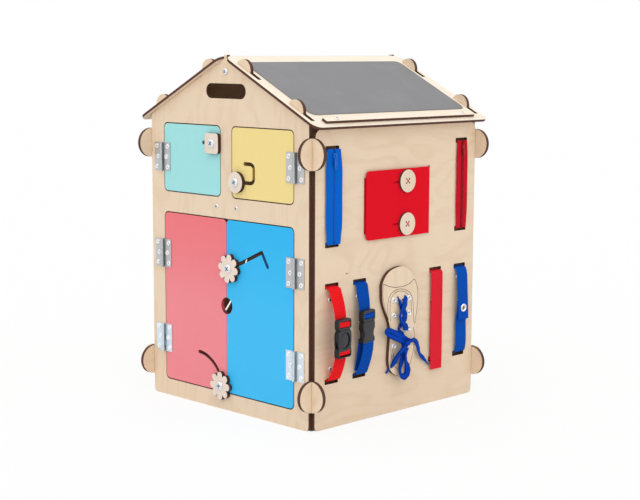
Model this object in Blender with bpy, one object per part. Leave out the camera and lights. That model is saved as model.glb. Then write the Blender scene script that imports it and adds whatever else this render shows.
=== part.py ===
"""Activity house: a laser-cut birch plywood box with a gable roof, four latched doors and a busy wall.

The origin is at the middle of the footprint on the floor. +X points to the wall with the straps,
-Y to the wall with the doors, +Z up. Lengths are metres.
"""

import math

import bmesh
import bpy
from mathutils import Matrix, Vector

# Sheets and fits
PLY = 0.006
ROOF_PLY = 0.004
ROOM_HALF = 0.180
FIT = 0.0003
OVERRUN = 0.004
SHEET_CORNER = 0.007

# Gable walls; the ridge line is measured up from the tops of the upper doors' openings
UPPER_HIGH = 0.4410
GABLE_RISE = 0.1024
ROOF_PITCH = math.radians(26.7)
NUB_W = 0.0064
NUB_RISE = 0.0035
HANDLE_W = 0.090
HANDLE_H = 0.0228
HANDLE_DROP = 0.0506

WALL_FACE = ROOM_HALF + PLY
SHEET_HALF = ROOM_HALF - FIT
SLOPE = math.tan(ROOF_PITCH)
RIDGE_Z = UPPER_HIGH + GABLE_RISE
HANDLE_Z = RIDGE_Z - HANDLE_DROP

# Half-disc ears that cross at the corners of the box
EAR_R = 0.0232
EAR_LOW_Z = 0.053
EAR_DROP = 0.035

# Half-disc ears that hook through the roof
RAKE_EAR_R = 0.017
RAKE_EAR_UPPER = 0.0434
RAKE_EAR_FROM_EAVE = 0.03265
HOOK_REACH = 0.003
ROOF_SLOT_FREE = 0.0195
ROOF_SLOT_PLAY = 0.0006

# Side walls, whose tops stay this far below the roof
SIDE_TOP_GAP = 0.00785
SIDE_TOP_CORNER = 0.011

# Roof sheets, measured down the slope from the ridge line
ROOF_START = 0.0045
EAVE_REACH = 0.02335
ROOF_OVERHANG = 0.008
ROOF_CORNER = 0.014
BOARD_START = 0.026
BOARD_FROM_EAVE = 0.0355
BOARD_END_GAP = 0.014
BOARD_T = 0.0008
BOARD_CORNER = 0.011
LEDGE_FROM_EAVE = 0.0205
LEDGE_W = 0.0106
LEDGE_END_GAP = 0.020
LEDGE_CORNER = 0.001

# Upper doors
UPPER_IN = 0.01225
UPPER_STILE = 0.03095
UPPER_DOOR_H = 0.1097
DOOR_CORNER = 0.009
DOOR_GAP = 0.0017
MEETING_GAP = 0.0008

# Lower doors
LOWER_STILE = 0.0304
LOWER_LOW = 0.0267
LOWER_HIGH = 0.2996
FINGER_R = 0.013
FINGER_Z = 0.1645

# Hinges
HINGE_SHIFT = 0.0024
HINGE_H = 0.045
HINGE_SPREAD = 0.0690
LEAF_W = 0.019
LEAF_T = 0.001
BARREL_R = 0.003
PIN_R = 0.0012
KNUCKLE_COUNT = 5
RIVET_R = 0.0029
RIVET_H = 0.0008
RIVET_RISE = 0.0163
RIVET_OUT = 0.0133
RIVET_IN = 0.0098

# Latch knobs and their bolts
KNOB_T = 0.006
KNOB_INSET = 0.0148
SQUARE_KNOB = 0.031
SQUARE_KNOB_CORNER = 0.005
ROUND_KNOB_R = 0.016
FLOWER_R = 0.0225
FLOWER_WAIST = 0.0172
PETALS = 8
BOLT_R = 0.0025
BOLT_HEAD_R = 0.0053
BOLT_HEAD_H = 0.0026
WASHER_R = 0.007
WASHER_T = 0.0012
NUT_R = 0.0042
NUT_H = 0.004
TEAL_LATCH_DROP = 0.028
TEAL_TRAVEL = 0.026
YELLOW_LATCH_RISE = 0.0257
YELLOW_TRAVEL = 0.0275
YELLOW_BEND = 0.0075
YELLOW_RISE = 0.0285
YELLOW_RETURN = 0.020
UPPER_FLOWER_X = 0.0098
UPPER_FLOWER_Z = 0.2238
ELBOW_X = 0.0795
ELBOW_Z = 0.2552
ELBOW_END_X = 0.0922
ELBOW_END_Z = 0.2347
SWING_X = 0.0684
SWING_Z = 0.0240
SWING_R = 0.0592
SWING_START = math.radians(13.5)
SWING_END = math.radians(87.5)

# Door stop and ridge beam behind the walls
STOP_HALF_W = 0.035
STOP_REACH = 0.006
BEAM = 0.018
BEAM_DROP = 0.0213
BEAM_BOLT_DEPTH = 0.025

# Slots of the busy wall
SLOT_W = 0.028
SLOT_H = 0.008
SLOT_CORNER = 0.0015
COLUMN_FROM_CORNER = 0.0347
COLUMN_PITCH = 0.0591
STRAP_LOW_Z = 0.071
STRAP_SPAN = 0.1423
ZIP_DROP = 0.028
ZIP_SPAN = 0.140
SLIT_ARC_Y = -0.2031
SLIT_ARC_Z = 0.2723
SLIT_R = 0.2354
SLIT_W = 0.008
SLIT_START = math.radians(-45)
SLIT_END = math.radians(-13)

# Webbing and tapes
WEB_W = 0.025
WEB_T = 0.0014
WEB_INSIDE = 0.030
WEB_BEND = 0.0045
TAPE_T = 0.0012
TAPE_BOW = 0.0034
TAPE_W = 0.0266
BAND_W = 0.0272
BAND_T = 0.0014
BAND_END_Z = 0.0545
BAND_BOW = 0.0042
INNER_BAND_TOP = 0.165
SNAP_BOW = 0.0082
SNAP_Z = 0.146
SNAP_R = 0.0066
SNAP_H = 0.0022
SNAP_TONGUE_END = 0.1275
SNAP_UNDER_TOP = 0.158

# Zip slider
SLIDER_DROP = 0.0125
SLIDER_W = 0.0085
SLIDER_CORNER = SLIDER_W / 8
SLIDER_H = 0.013
SLIDER_T = 0.0032
PULL_W = 0.0062
PULL_H = 0.017
PULL_T = 0.0014
PULL_HOLE_R = 0.0017

# Side-release buckles
BUCKLE_W = 0.0315
BUCKLE_T = 0.0096
BUCKLE_CORNER = 0.004
BUCKLE_WALL = 0.0021
PLUG_FRAME = 0.0165
WEB_WINDOW = 0.0045
BAR_W = 0.0028
ARM_W = 0.0048
TONGUE_W = 0.0075
PLUG_T = 0.0048
MOUTH_PLAY = 0.0004
THUMB_WINDOW = 0.012
RED_BUCKLE_RISE = 0.0680
RED_BUCKLE_H = 0.0575
RED_BUCKLE_BOW = 0.0225
BLUE_BUCKLE_RISE = 0.0770
BLUE_BUCKLE_H = 0.0490
BLUE_BUCKLE_BOW = 0.0145

# Buttoned flap
FLAP_T = 0.0014
FLAP_LEFT = 0.0750
FLAP_RIGHT = 0.0680
FLAP_LOW = 0.2735
FLAP_HIGH = 0.3770
FLAP_LIFT = 0.0006
UNDER_RIGHT = 0.0390
UNDER_INSET = 0.0110
FLAP_SLOT_W = 0.003
FLAP_SLOT_SHIFT = 0.0015
BUTTON_R = 0.0173
BUTTON_T = 0.0036
BUTTON_Y = 0.0110
BUTTON_RISE = 0.0328
THREAD_HOLE_R = 0.0013
THREAD_HOLE_SPREAD = 0.0065

# Shoe board and its lace
SHOE_Y = -0.0007
SHOE_LOW = 0.056
SHOE_L = 0.172
SHOE_W = 0.0836
EYELET_R = 0.0024
EYELET_HALF = 0.017
EYELET_MID = 0.0010
EYELET_TOP = 0.1770
EYELET_PITCH = 0.0237
EYELET_ROWS = 4
LACE_R = 0.0014
LACE_STEP = 0.0042

EAVE_U = SHEET_HALF / math.cos(ROOF_PITCH)
RAKE_EAR_LOWER = EAVE_U - RAKE_EAR_FROM_EAVE
SIDE_TOP = RIDGE_Z - WALL_FACE * SLOPE - SIDE_TOP_GAP
EAR_HIGH_Z = SIDE_TOP - EAR_DROP
ROOF_END = EAVE_U + EAVE_REACH
BOARD_END = ROOF_END - BOARD_FROM_EAVE
BOARD_HALF = WALL_FACE - BOARD_END_GAP
LEDGE_START = ROOF_END - LEDGE_FROM_EAVE
LEDGE_HALF = WALL_FACE - LEDGE_END_GAP
UPPER_OUT = ROOM_HALF - UPPER_STILE
UPPER_LOW = UPPER_HIGH - UPPER_DOOR_H
LOWER_OUT = ROOM_HALF - LOWER_STILE
HINGE_X = LOWER_OUT + HINGE_SHIFT
BEAM_Z = RIDGE_Z - BEAM_DROP
OUTER_COLUMN = ROOM_HALF - COLUMN_FROM_CORNER
INNER_COLUMN = OUTER_COLUMN - COLUMN_PITCH
STRAP_HIGH_Z = STRAP_LOW_Z + STRAP_SPAN
ZIP_HIGH_Z = SIDE_TOP - ZIP_DROP
ZIP_LOW_Z = ZIP_HIGH_Z - ZIP_SPAN
SLIDER_Z = ZIP_HIGH_Z - SLIDER_DROP
RED_BUCKLE_Z = STRAP_LOW_Z + RED_BUCKLE_RISE
BLUE_BUCKLE_Z = STRAP_LOW_Z + BLUE_BUCKLE_RISE
TEAL_LATCH_Z = UPPER_HIGH - TEAL_LATCH_DROP
YELLOW_LATCH_Z = UPPER_LOW + YELLOW_LATCH_RISE
BOLT_SLOT = 2 * (BOLT_R + FIT)
DOOR_MID_Z = (LOWER_LOW + LOWER_HIGH) / 2
UPPER_MID_Z = (UPPER_LOW + UPPER_HIGH) / 2
UPPER_LATCH_X = UPPER_IN + KNOB_INSET
FLAP_MID_Z = (FLAP_LOW + FLAP_HIGH) / 2
HINGE_Y = -(WALL_FACE + FIT + BARREL_R)

# Outline of the shoe, across and along it, from the toe down the instep and back up
SHOE_OUTLINE_SHARES = (
    (0, 1), (-0.171, 0.991), (-0.322, 0.966), (-0.434, 0.919), (-0.5, 0.86), (-0.505, 0.798),
    (-0.496, 0.722), (-0.445, 0.643), (-0.362, 0.563), (-0.303, 0.496), (-0.279, 0.431), (-0.291, 0.331),
    (-0.309, 0.232), (-0.312, 0.155), (-0.279, 0.089), (-0.201, 0.044), (-0.075, 0.013), (0.03, 0),
    (0.2, 0.03), (0.34, 0.115), (0.39, 0.215), (0.42, 0.33), (0.423, 0.487), (0.468, 0.562),
    (0.495, 0.663), (0.492, 0.741), (0.45, 0.808), (0.384, 0.876), (0.275, 0.939), (0.138, 0.983),
)

# Routes of the lace, chosen by hand: the zigzag, the bow's two loops, and the two free ends
LACING_ROUTE = (
    (0.1977, 0.0010, 0.1160), (0.1952, 0.0000, 0.1220), (0.1940, -0.0040, 0.1290),
    (0.1940, -0.0062, 0.1366),
    (0.1940, 0.0000, 0.1432), (0.1940, 0.0072, 0.1530), (0.1940, 0.0045, 0.1600),
    (0.1940, -0.0016, 0.1660), (0.1940, -0.0064, 0.1715), (0.1942, -0.0060, 0.1775),
    (0.1950, -0.0008, 0.1795), (0.1966, 0.0044, 0.1775), (0.1974, 0.0054, 0.1715),
    (0.1975, -0.0008, 0.1655), (0.1975, -0.0076, 0.1580), (0.1975, -0.0062, 0.1505),
    (0.1975, 0.0004, 0.1436), (0.1975, 0.0060, 0.1372), (0.1973, 0.0050, 0.1290),
)
BOW_ROUTE = (
    (0.2008, 0.0056, 0.1130), (0.2008, -0.0020, 0.1180), (0.2002, -0.0139, 0.1247),
    (0.1990, -0.0270, 0.1315), (0.1980, -0.0360, 0.1352), (0.1974, -0.0404, 0.1342),
    (0.1974, -0.0396, 0.1304), (0.1980, -0.0330, 0.1254), (0.1996, -0.0170, 0.1184),
    (0.2006, -0.0050, 0.1124), (0.2006, -0.0012, 0.1060), (0.2000, -0.0018, 0.0974),
    (0.1985, -0.0046, 0.0818), (0.1972, -0.0053, 0.0659), (0.1965, 0.0006, 0.0526),
    (0.1962, 0.0104, 0.0474), (0.1965, 0.0176, 0.0540), (0.1975, 0.0158, 0.0660),
    (0.1988, 0.0098, 0.0800), (0.2000, 0.0050, 0.0930), (0.2004, 0.0038, 0.1020),
)
ENDS_ROUTE = (
    (0.1877, -0.0362, 0.0648), (0.1905, -0.0312, 0.0715), (0.1950, -0.0264, 0.0783),
    (0.1995, -0.0151, 0.0925), (0.2035, -0.0040, 0.1020), (0.2042, 0.0030, 0.1085),
    (0.2040, 0.0100, 0.1118), (0.2025, 0.0164, 0.1122), (0.1990, 0.0240, 0.1105),
    (0.1965, 0.0320, 0.1055), (0.1940, 0.0388, 0.0960), (0.1920, 0.0450, 0.0850),
    (0.1908, 0.0530, 0.0755), (0.1890, 0.0605, 0.0690), (0.1877, 0.0675, 0.0632),
)

FRONT = (math.pi / 2, 0, 0)
SIDE = (math.pi / 2, 0, math.pi / 2)


def clear_scene():
    for obj in list(bpy.data.objects):
        bpy.data.objects.remove(obj, do_unlink=True)


def material(name, colour, roughness, metallic=0.0):
    made = bpy.data.materials.new(name)
    made.use_nodes = True
    shader = made.node_tree.nodes["Principled BSDF"]
    shader.inputs["Base Color"].default_value = (*colour, 1.0)
    shader.inputs["Roughness"].default_value = roughness
    shader.inputs["Metallic"].default_value = metallic
    return made


def arc(cx, cy, radius, start, end, steps):
    """Points of an arc, ends included; the angles are in radians."""
    turn = (end - start) / steps
    return [
        (cx + radius * math.cos(start + turn * i), cy + radius * math.sin(start + turn * i))
        for i in range(steps + 1)
    ]


def circle(cx, cy, radius, steps=20):
    return arc(cx, cy, radius, 0, 2 * math.pi, steps)[:-1]


def rounded(left, low, right, high, radii, steps=5):
    """A rectangle with the radii of its lower right, upper right, upper left and lower left corners."""
    if not isinstance(radii, tuple):
        radii = (radii,) * 4
    quarter = math.pi / 2
    points = []
    corners = ((right, low, -1, 1), (right, high, -1, -1), (left, high, 1, -1), (left, low, 1, 1))
    for turn, ((x, y, inward, upward), r) in enumerate(zip(corners, radii)):
        first = quarter * (turn - 1)
        if r:
            points += arc(x + inward * r, y + upward * r, r, first, first + quarter, steps)
        else:
            points.append((x, y))
    return points


def ribbon(path, width, round_ends=False):
    """The outline of a band of this width along a path of points, with mitred corners."""
    half = width / 2
    path = [Vector(p) for p in path]
    left, right = [], []
    for i, here in enumerate(path):
        before = (here - path[i - 1]).normalized() if i else None
        after = (path[i + 1] - here).normalized() if i + 1 < len(path) else None
        along = before or after
        if before and after:
            along = (before + after).normalized()
        side = Vector((-along.y, along.x))
        reach = half / max(side.dot(Vector((-(after or before).y, (after or before).x))), 0.5)
        left.append(tuple(here + side * reach))
        right.append(tuple(here - side * reach))
    if not round_ends:
        return left + right[::-1]
    first = (path[1] - path[0]).normalized()
    last = (path[-1] - path[-2]).normalized()
    start_angle = math.atan2(first.y, first.x)
    end_angle = math.atan2(last.y, last.x)
    end_cap = arc(*path[-1], half, end_angle + math.pi / 2, end_angle - math.pi / 2, 6)
    start_cap = arc(*path[0], half, start_angle - math.pi / 2, start_angle - 3 * math.pi / 2, 6)
    return left[1:-1] + end_cap + right[1:-1][::-1] + start_cap


def smooth_open(points, step):
    """Points spaced about one step apart on a smooth curve through the given ones."""
    points = [Vector(p) for p in points]
    padded = [2 * points[0] - points[1], *points, 2 * points[-1] - points[-2]]
    dense = []
    for a, b, c, d in zip(padded, padded[1:], padded[2:], padded[3:]):
        count = 12
        for i in range(count):
            t = i / count
            dense.append(
                0.5 * (2 * b + (c - a) * t + (2 * a - 5 * b + 4 * c - d) * t**2
                       + (3 * b - a - 3 * c + d) * t**3)
            )
    dense.append(points[-1])
    total = sum((b - a).length for a, b in zip(dense, dense[1:]))
    count = max(2, round(total / step))
    wanted = [total * i / count for i in range(count + 1)]
    result, gone, k = [], 0.0, 0
    for target in wanted:
        while k < len(dense) - 2 and gone + (dense[k + 1] - dense[k]).length < target:
            gone += (dense[k + 1] - dense[k]).length
            k += 1
        stretch = (dense[k + 1] - dense[k]).length
        share = min(max((target - gone) / stretch, 0.0), 1.0)
        result.append(dense[k].lerp(dense[k + 1], share))
    return result


def smooth_closed(points, between=3):
    """A closed smooth outline through the given points."""
    points = [Vector(p) for p in points]
    count = len(points)
    result = []
    for i in range(count):
        a, b, c, d = (points[(i + k - 1) % count] for k in range(4))
        for step in range(between):
            t = step / between
            result.append(
                tuple(0.5 * (2 * b + (c - a) * t + (2 * a - 5 * b + 4 * c - d) * t**2
                             + (3 * b - a - 3 * c + d) * t**3))
            )
    return result


def flat(name, loops, thickness, mat, location, rotation=(0, 0, 0)):
    """A sheet cut to the first loop, with the other loops as its holes, centred on its thickness."""
    data = bpy.data.curves.new(name, "CURVE")
    data.dimensions = "2D"
    data.fill_mode = "BOTH"
    data.extrude = thickness / 2
    for loop in loops:
        spline = data.splines.new("POLY")
        spline.points.add(len(loop) - 1)
        for point, (x, y) in zip(spline.points, loop):
            point.co = (x, y, 0, 1)
        spline.use_cyclic_u = True
    data.materials.append(mat)
    obj = bpy.data.objects.new(name, data)
    bpy.context.scene.collection.objects.link(obj)
    obj.location = location
    obj.rotation_euler = rotation
    return obj


def solid_mesh(name, obj):
    """The shape of an object as a welded mesh of its own."""
    bpy.context.view_layer.update()
    shape = obj.evaluated_get(bpy.context.evaluated_depsgraph_get())
    mesh = bpy.data.meshes.new_from_object(shape)
    mesh.name = name
    edit = bmesh.new()
    edit.from_mesh(mesh)
    bmesh.ops.remove_doubles(edit, verts=edit.verts, dist=FIT / 100)
    bmesh.ops.recalc_face_normals(edit, faces=edit.faces)
    edit.to_mesh(mesh)
    edit.free()
    return mesh


def mesh_object(name, mesh, mat, location=(0, 0, 0), rotation=(0, 0, 0)):
    obj = bpy.data.objects.new(name, mesh)
    if mat is not None:
        mesh.materials.clear()
        mesh.materials.append(mat)
    bpy.context.scene.collection.objects.link(obj)
    obj.location = location
    obj.rotation_euler = rotation
    return obj


def turned(name, profile, segments=16):
    """A closed mesh from a profile of (radius, height) points turned about Z, from low to high."""
    edit = bmesh.new()
    rings = []
    turn = 2 * math.pi / segments
    for radius, height in profile:
        if radius == 0:
            rings.append([edit.verts.new((0, 0, height))])
            continue
        ring = [
            edit.verts.new((
                radius * math.cos(turn * (i + 0.5)), radius * math.sin(turn * (i + 0.5)), height,
            ))
            for i in range(segments)
        ]
        rings.append(ring)
    for low, high in zip(rings, rings[1:]):
        for i in range(segments):
            j = (i + 1) % segments
            corners = []
            for vert in (low[i % len(low)], low[j % len(low)], high[j % len(high)], high[i % len(high)]):
                if vert not in corners:
                    corners.append(vert)
            edit.faces.new(corners)
    bmesh.ops.recalc_face_normals(edit, faces=edit.faces)
    mesh = bpy.data.meshes.new(name)
    edit.to_mesh(mesh)
    edit.free()
    mesh.shade_smooth()
    mesh.set_sharp_from_angle(angle=math.radians(35))
    return mesh


def boolean(target, others, operation):
    for other in others:
        modifier = target.modifiers.new(operation.title(), "BOOLEAN")
        modifier.operation = operation
        modifier.solver = "EXACT"
        modifier.object = other
        other.hide_render = True
        other.display_type = "WIRE"


def settle(obj, helpers):
    """Keeps the finished shape of an object as its own mesh and removes what made it."""
    mesh = solid_mesh(obj.name, obj)
    mat = obj.data.materials[0]
    place = obj.matrix_world.copy()
    name = obj.name
    for item in [obj, *helpers]:
        bpy.data.objects.remove(item, do_unlink=True)
    made = mesh_object(name, mesh, mat)
    made.matrix_world = place
    return made


def ride_on(parent, *children):
    """Parents children to a joint's empty and keeps them where they are."""
    bpy.context.view_layer.update()
    for child in children:
        place = child.matrix_world.copy()
        child.parent = parent
        child.matrix_parent_inverse = Matrix()
        child.matrix_basis = parent.matrix_world.inverted() @ place


def pivot(name, location):
    obj = bpy.data.objects.new(name, None)
    bpy.context.scene.collection.objects.link(obj)
    obj.location = location
    return obj


def rake_point(u, rise=0.0):
    """A point of the right rake, u down the slope from the ridge and raised square to it."""
    x = u * math.cos(ROOF_PITCH) + rise * math.sin(ROOF_PITCH)
    z = RIDGE_Z - u * math.sin(ROOF_PITCH) + rise * math.cos(ROOF_PITCH)
    return x, z


def rake_ear(u):
    """One hooked half disc of the right rake, from its low end to its high end."""
    low_u = u + RAKE_EAR_R
    seat = -FIT
    top = ROOF_PLY + FIT
    spread = math.asin(top / RAKE_EAR_R)
    points = [rake_point(low_u, seat)]
    steps = 12
    for i in range(steps + 1):
        angle = (math.pi - spread) * i / steps
        points.append(rake_point(u + RAKE_EAR_R * math.cos(angle), RAKE_EAR_R * math.sin(angle)))
    neck = u - RAKE_EAR_R + HOOK_REACH
    points.append(rake_point(neck, top))
    points.append(rake_point(neck, seat))
    return points


def corner_ear(zc, slot_above):
    """The half disc at the right edge of a wall, with half of the slit that crosses its neighbour."""
    edge = SHEET_HALF
    cx = WALL_FACE
    lean = math.acos((edge - cx) / EAR_R)
    slit = WALL_FACE + FIT
    top_angle = math.acos((slit - cx) / EAR_R)
    if slot_above:
        rim = arc(cx, zc, EAR_R, -lean, top_angle, 16)
        return [*rim, (slit, zc - FIT / 2), (edge, zc - FIT / 2)]
    rim = arc(cx, zc, EAR_R, -top_angle, lean, 16)
    return [(edge, zc + FIT / 2), (slit, zc + FIT / 2), *rim]


def mirrored(points):
    """The same points on the other side of the middle line, in the turning order that continues."""
    return [(-x, y) for x, y in reversed(points)]


def gable_outline():
    right = arc(SHEET_HALF - SHEET_CORNER, SHEET_CORNER, SHEET_CORNER, -math.pi / 2, 0, 4)
    right += corner_ear(EAR_LOW_Z, True)
    right += corner_ear(EAR_HIGH_Z, True)
    right.append(rake_point(EAVE_U - FIT * SLOPE, -FIT))
    right += rake_ear(RAKE_EAR_LOWER)
    right += rake_ear(RAKE_EAR_UPPER)
    nub = NUB_W / 2
    shoulder = RIDGE_Z - nub * SLOPE - FIT / math.cos(ROOF_PITCH)
    right += [(nub, shoulder), (nub, RIDGE_Z + NUB_RISE)]
    return right + mirrored(right)


def side_outline():
    right = arc(SHEET_HALF - SHEET_CORNER, SHEET_CORNER, SHEET_CORNER, -math.pi / 2, 0, 4)
    right += corner_ear(EAR_LOW_Z, False)
    right += corner_ear(EAR_HIGH_Z, False)
    right += arc(SHEET_HALF - SIDE_TOP_CORNER, SIDE_TOP - SIDE_TOP_CORNER, SIDE_TOP_CORNER, 0, math.pi / 2, 6)
    return right + mirrored(right)


def upper_opening(side):
    left, right = sorted((side * UPPER_IN, side * UPPER_OUT))
    return rounded(left, UPPER_LOW, right, UPPER_HIGH, DOOR_CORNER)


def handle_slot():
    half = HANDLE_H / 2
    return rounded(-HANDLE_W / 2, HANDLE_Z - half, HANDLE_W / 2, HANDLE_Z + half, half - FIT, 8)


def build_walls(wood):
    beam_hole = circle(0, BEAM_Z, BOLT_R + FIT, 12)
    lower = rounded(-LOWER_OUT, LOWER_LOW, LOWER_OUT, LOWER_HIGH, DOOR_CORNER)
    middle = ROOM_HALF + PLY / 2
    flat(
        "front_wall",
        [gable_outline(), handle_slot(), beam_hole, upper_opening(-1), upper_opening(1), lower],
        PLY, wood, (0, -middle, 0), FRONT,
    )
    flat("back_wall", [gable_outline(), handle_slot(), beam_hole], PLY, wood, (0, middle, 0), FRONT)
    flat("right_wall", [side_outline(), *busy_slots()], PLY, wood, (middle, 0, 0), SIDE)
    slit = ribbon(arc(SLIT_ARC_Y, SLIT_ARC_Z, SLIT_R, SLIT_START, SLIT_END, 18), SLIT_W, round_ends=True)
    flat("left_wall", [side_outline(), slit], PLY, wood, (-middle, 0, 0), SIDE)


def slot_at(y, z, width=SLOT_W, height=SLOT_H):
    return rounded(y - width / 2, z - height / 2, y + width / 2, z + height / 2, SLOT_CORNER - FIT, 3)


def flap_slot_y(side):
    """Middle of the slit that a half of the flap comes out of."""
    if side < 0:
        return -FLAP_LEFT - FLAP_SLOT_SHIFT
    return FLAP_RIGHT + FLAP_SLOT_W / 2 - FLAP_T


def busy_slots():
    slots = []
    for z in (STRAP_LOW_Z, STRAP_HIGH_Z):
        for y in (-OUTER_COLUMN, -INNER_COLUMN, INNER_COLUMN, OUTER_COLUMN):
            slots.append(slot_at(y, z))
    for z in (ZIP_LOW_Z, ZIP_HIGH_Z):
        for y in (-OUTER_COLUMN, OUTER_COLUMN):
            slots.append(slot_at(y, z))
    for side, inset in ((-1, UNDER_INSET), (1, 0)):
        tall = FLAP_HIGH - FLAP_LOW - 2 * inset + 2 * SLOT_CORNER
        slots.append(slot_at(flap_slot_y(side), FLAP_MID_Z, FLAP_SLOT_W, tall))
    return slots


def build_roof(wood, slate):
    half = WALL_FACE + ROOF_OVERHANG
    slots = []
    for u in (RAKE_EAR_UPPER, RAKE_EAR_LOWER):
        start = u - RAKE_EAR_R + HOOK_REACH - FIT
        end = u + RAKE_EAR_R + ROOF_SLOT_FREE
        for y in (-(ROOM_HALF + PLY / 2), ROOM_HALF + PLY / 2):
            wide = PLY / 2 + ROOF_SLOT_PLAY
            slots.append(rounded(start, y - wide, end, y + wide, ROOF_SLOT_PLAY, 2))
    outline = rounded(ROOF_START, -half, ROOF_END, half, ROOF_CORNER, 6)
    lift = Vector((0, 0, ROOF_PLY / 2))
    for name, turn in (("roof_right", 0), ("roof_left", math.pi)):
        rotation = (0, ROOF_PITCH, turn)
        frame = Matrix.Rotation(turn, 3, "Z") @ Matrix.Rotation(ROOF_PITCH, 3, "Y")
        flat(name, [outline, *slots], ROOF_PLY, wood, Vector((0, 0, RIDGE_Z)) + frame @ lift, rotation)
    frame = Matrix.Rotation(ROOF_PITCH, 3, "Y")
    board = rounded(BOARD_START, -BOARD_HALF, BOARD_END, BOARD_HALF, BOARD_CORNER)
    lift = Vector((0, 0, ROOF_PLY + FIT + BOARD_T / 2))
    place = Vector((0, 0, RIDGE_Z)) + frame @ lift
    flat("chalkboard", [board], BOARD_T, slate, place, (0, ROOF_PITCH, 0))
    ledge = rounded(LEDGE_START, -LEDGE_HALF, LEDGE_START + LEDGE_W, LEDGE_HALF, LEDGE_CORNER, 2)
    lift = Vector((0, 0, ROOF_PLY + FIT + ROOF_PLY / 2))
    place = Vector((0, 0, RIDGE_Z)) + frame @ lift
    flat("chalk_ledge", [ledge], ROOF_PLY, wood, place, (0, ROOF_PITCH, 0))


def build_inner_blocks(wood, steel):
    low = LOWER_HIGH - STOP_REACH
    high = UPPER_LOW + STOP_REACH
    outline = rounded(-STOP_HALF_W, low, STOP_HALF_W, high, SLOT_CORNER, 3)
    flat("door_stop_block", [outline], PLY, wood, (0, -ROOM_HALF + FIT + PLY / 2, 0), FRONT)
    length = 2 * (ROOM_HALF - FIT)
    half = BEAM / 2
    square = rounded(-half, BEAM_Z - half, half, BEAM_Z + half, SLOT_CORNER, 2)
    beam = flat("ridge_beam", [square], length, wood, (0, 0, 0), FRONT)
    cutters = []
    for side in (-1, 1):
        depth = BEAM_BOLT_DEPTH + OVERRUN
        hole = flat(
            "beam_hole", [circle(0, BEAM_Z, BOLT_R + FIT, 12)], depth, wood,
            (0, side * (length / 2 + OVERRUN - depth / 2), 0), FRONT,
        )
        cutter = mesh_object("beam_cutter", solid_mesh("beam_cutter", hole), wood)
        cutter.matrix_world = hole.matrix_world
        bpy.data.objects.remove(hole, do_unlink=True)
        cutters.append(cutter)
    solid = mesh_object("ridge_beam_solid", solid_mesh("ridge_beam", beam), wood)
    solid.matrix_world = beam.matrix_world
    bpy.data.objects.remove(beam, do_unlink=True)
    solid.name = "ridge_beam"
    boolean(solid, cutters, "DIFFERENCE")
    settle(solid, cutters)
    reach = PLY + BEAM_BOLT_DEPTH - 2 * FIT
    profile = [(0, -reach), (BOLT_R, -reach), (BOLT_R, FIT), *pan_head(FIT)]
    for name, side in (("front_gable_bolt", -1), ("back_gable_bolt", 1)):
        mesh = turned(name, profile)
        mesh_object(name, mesh, steel, (0, side * WALL_FACE, BEAM_Z), (-side * math.pi / 2, 0, 0))


def pan_head(base):
    """Profile of a domed screw head above its seat."""
    top = base + BOLT_HEAD_H
    return [
        (BOLT_HEAD_R, base), (BOLT_HEAD_R, base + BOLT_HEAD_H * 0.45),
        (BOLT_HEAD_R * 0.86, base + BOLT_HEAD_H * 0.8), (BOLT_HEAD_R * 0.55, top), (0, top),
    ]


def leaf_outline(own_knuckles):
    """Comb shape of one leaf, seen square on, from the hinge axis outwards."""
    pitch = HINGE_H / KNUCKLE_COUNT
    clear = BARREL_R + FIT
    low = -HINGE_H / 2
    points = [(LEAF_W, low), (LEAF_W, -low)]
    for k in reversed(range(KNUCKLE_COUNT)):
        bottom = low + pitch * k + (FIT / 2 if k else 0)
        top = low + pitch * (k + 1) - (FIT / 2 if k < KNUCKLE_COUNT - 1 else 0)
        inner = 0 if k in own_knuckles else clear
        points += [(inner, top), (inner, bottom)]
    return points


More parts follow.
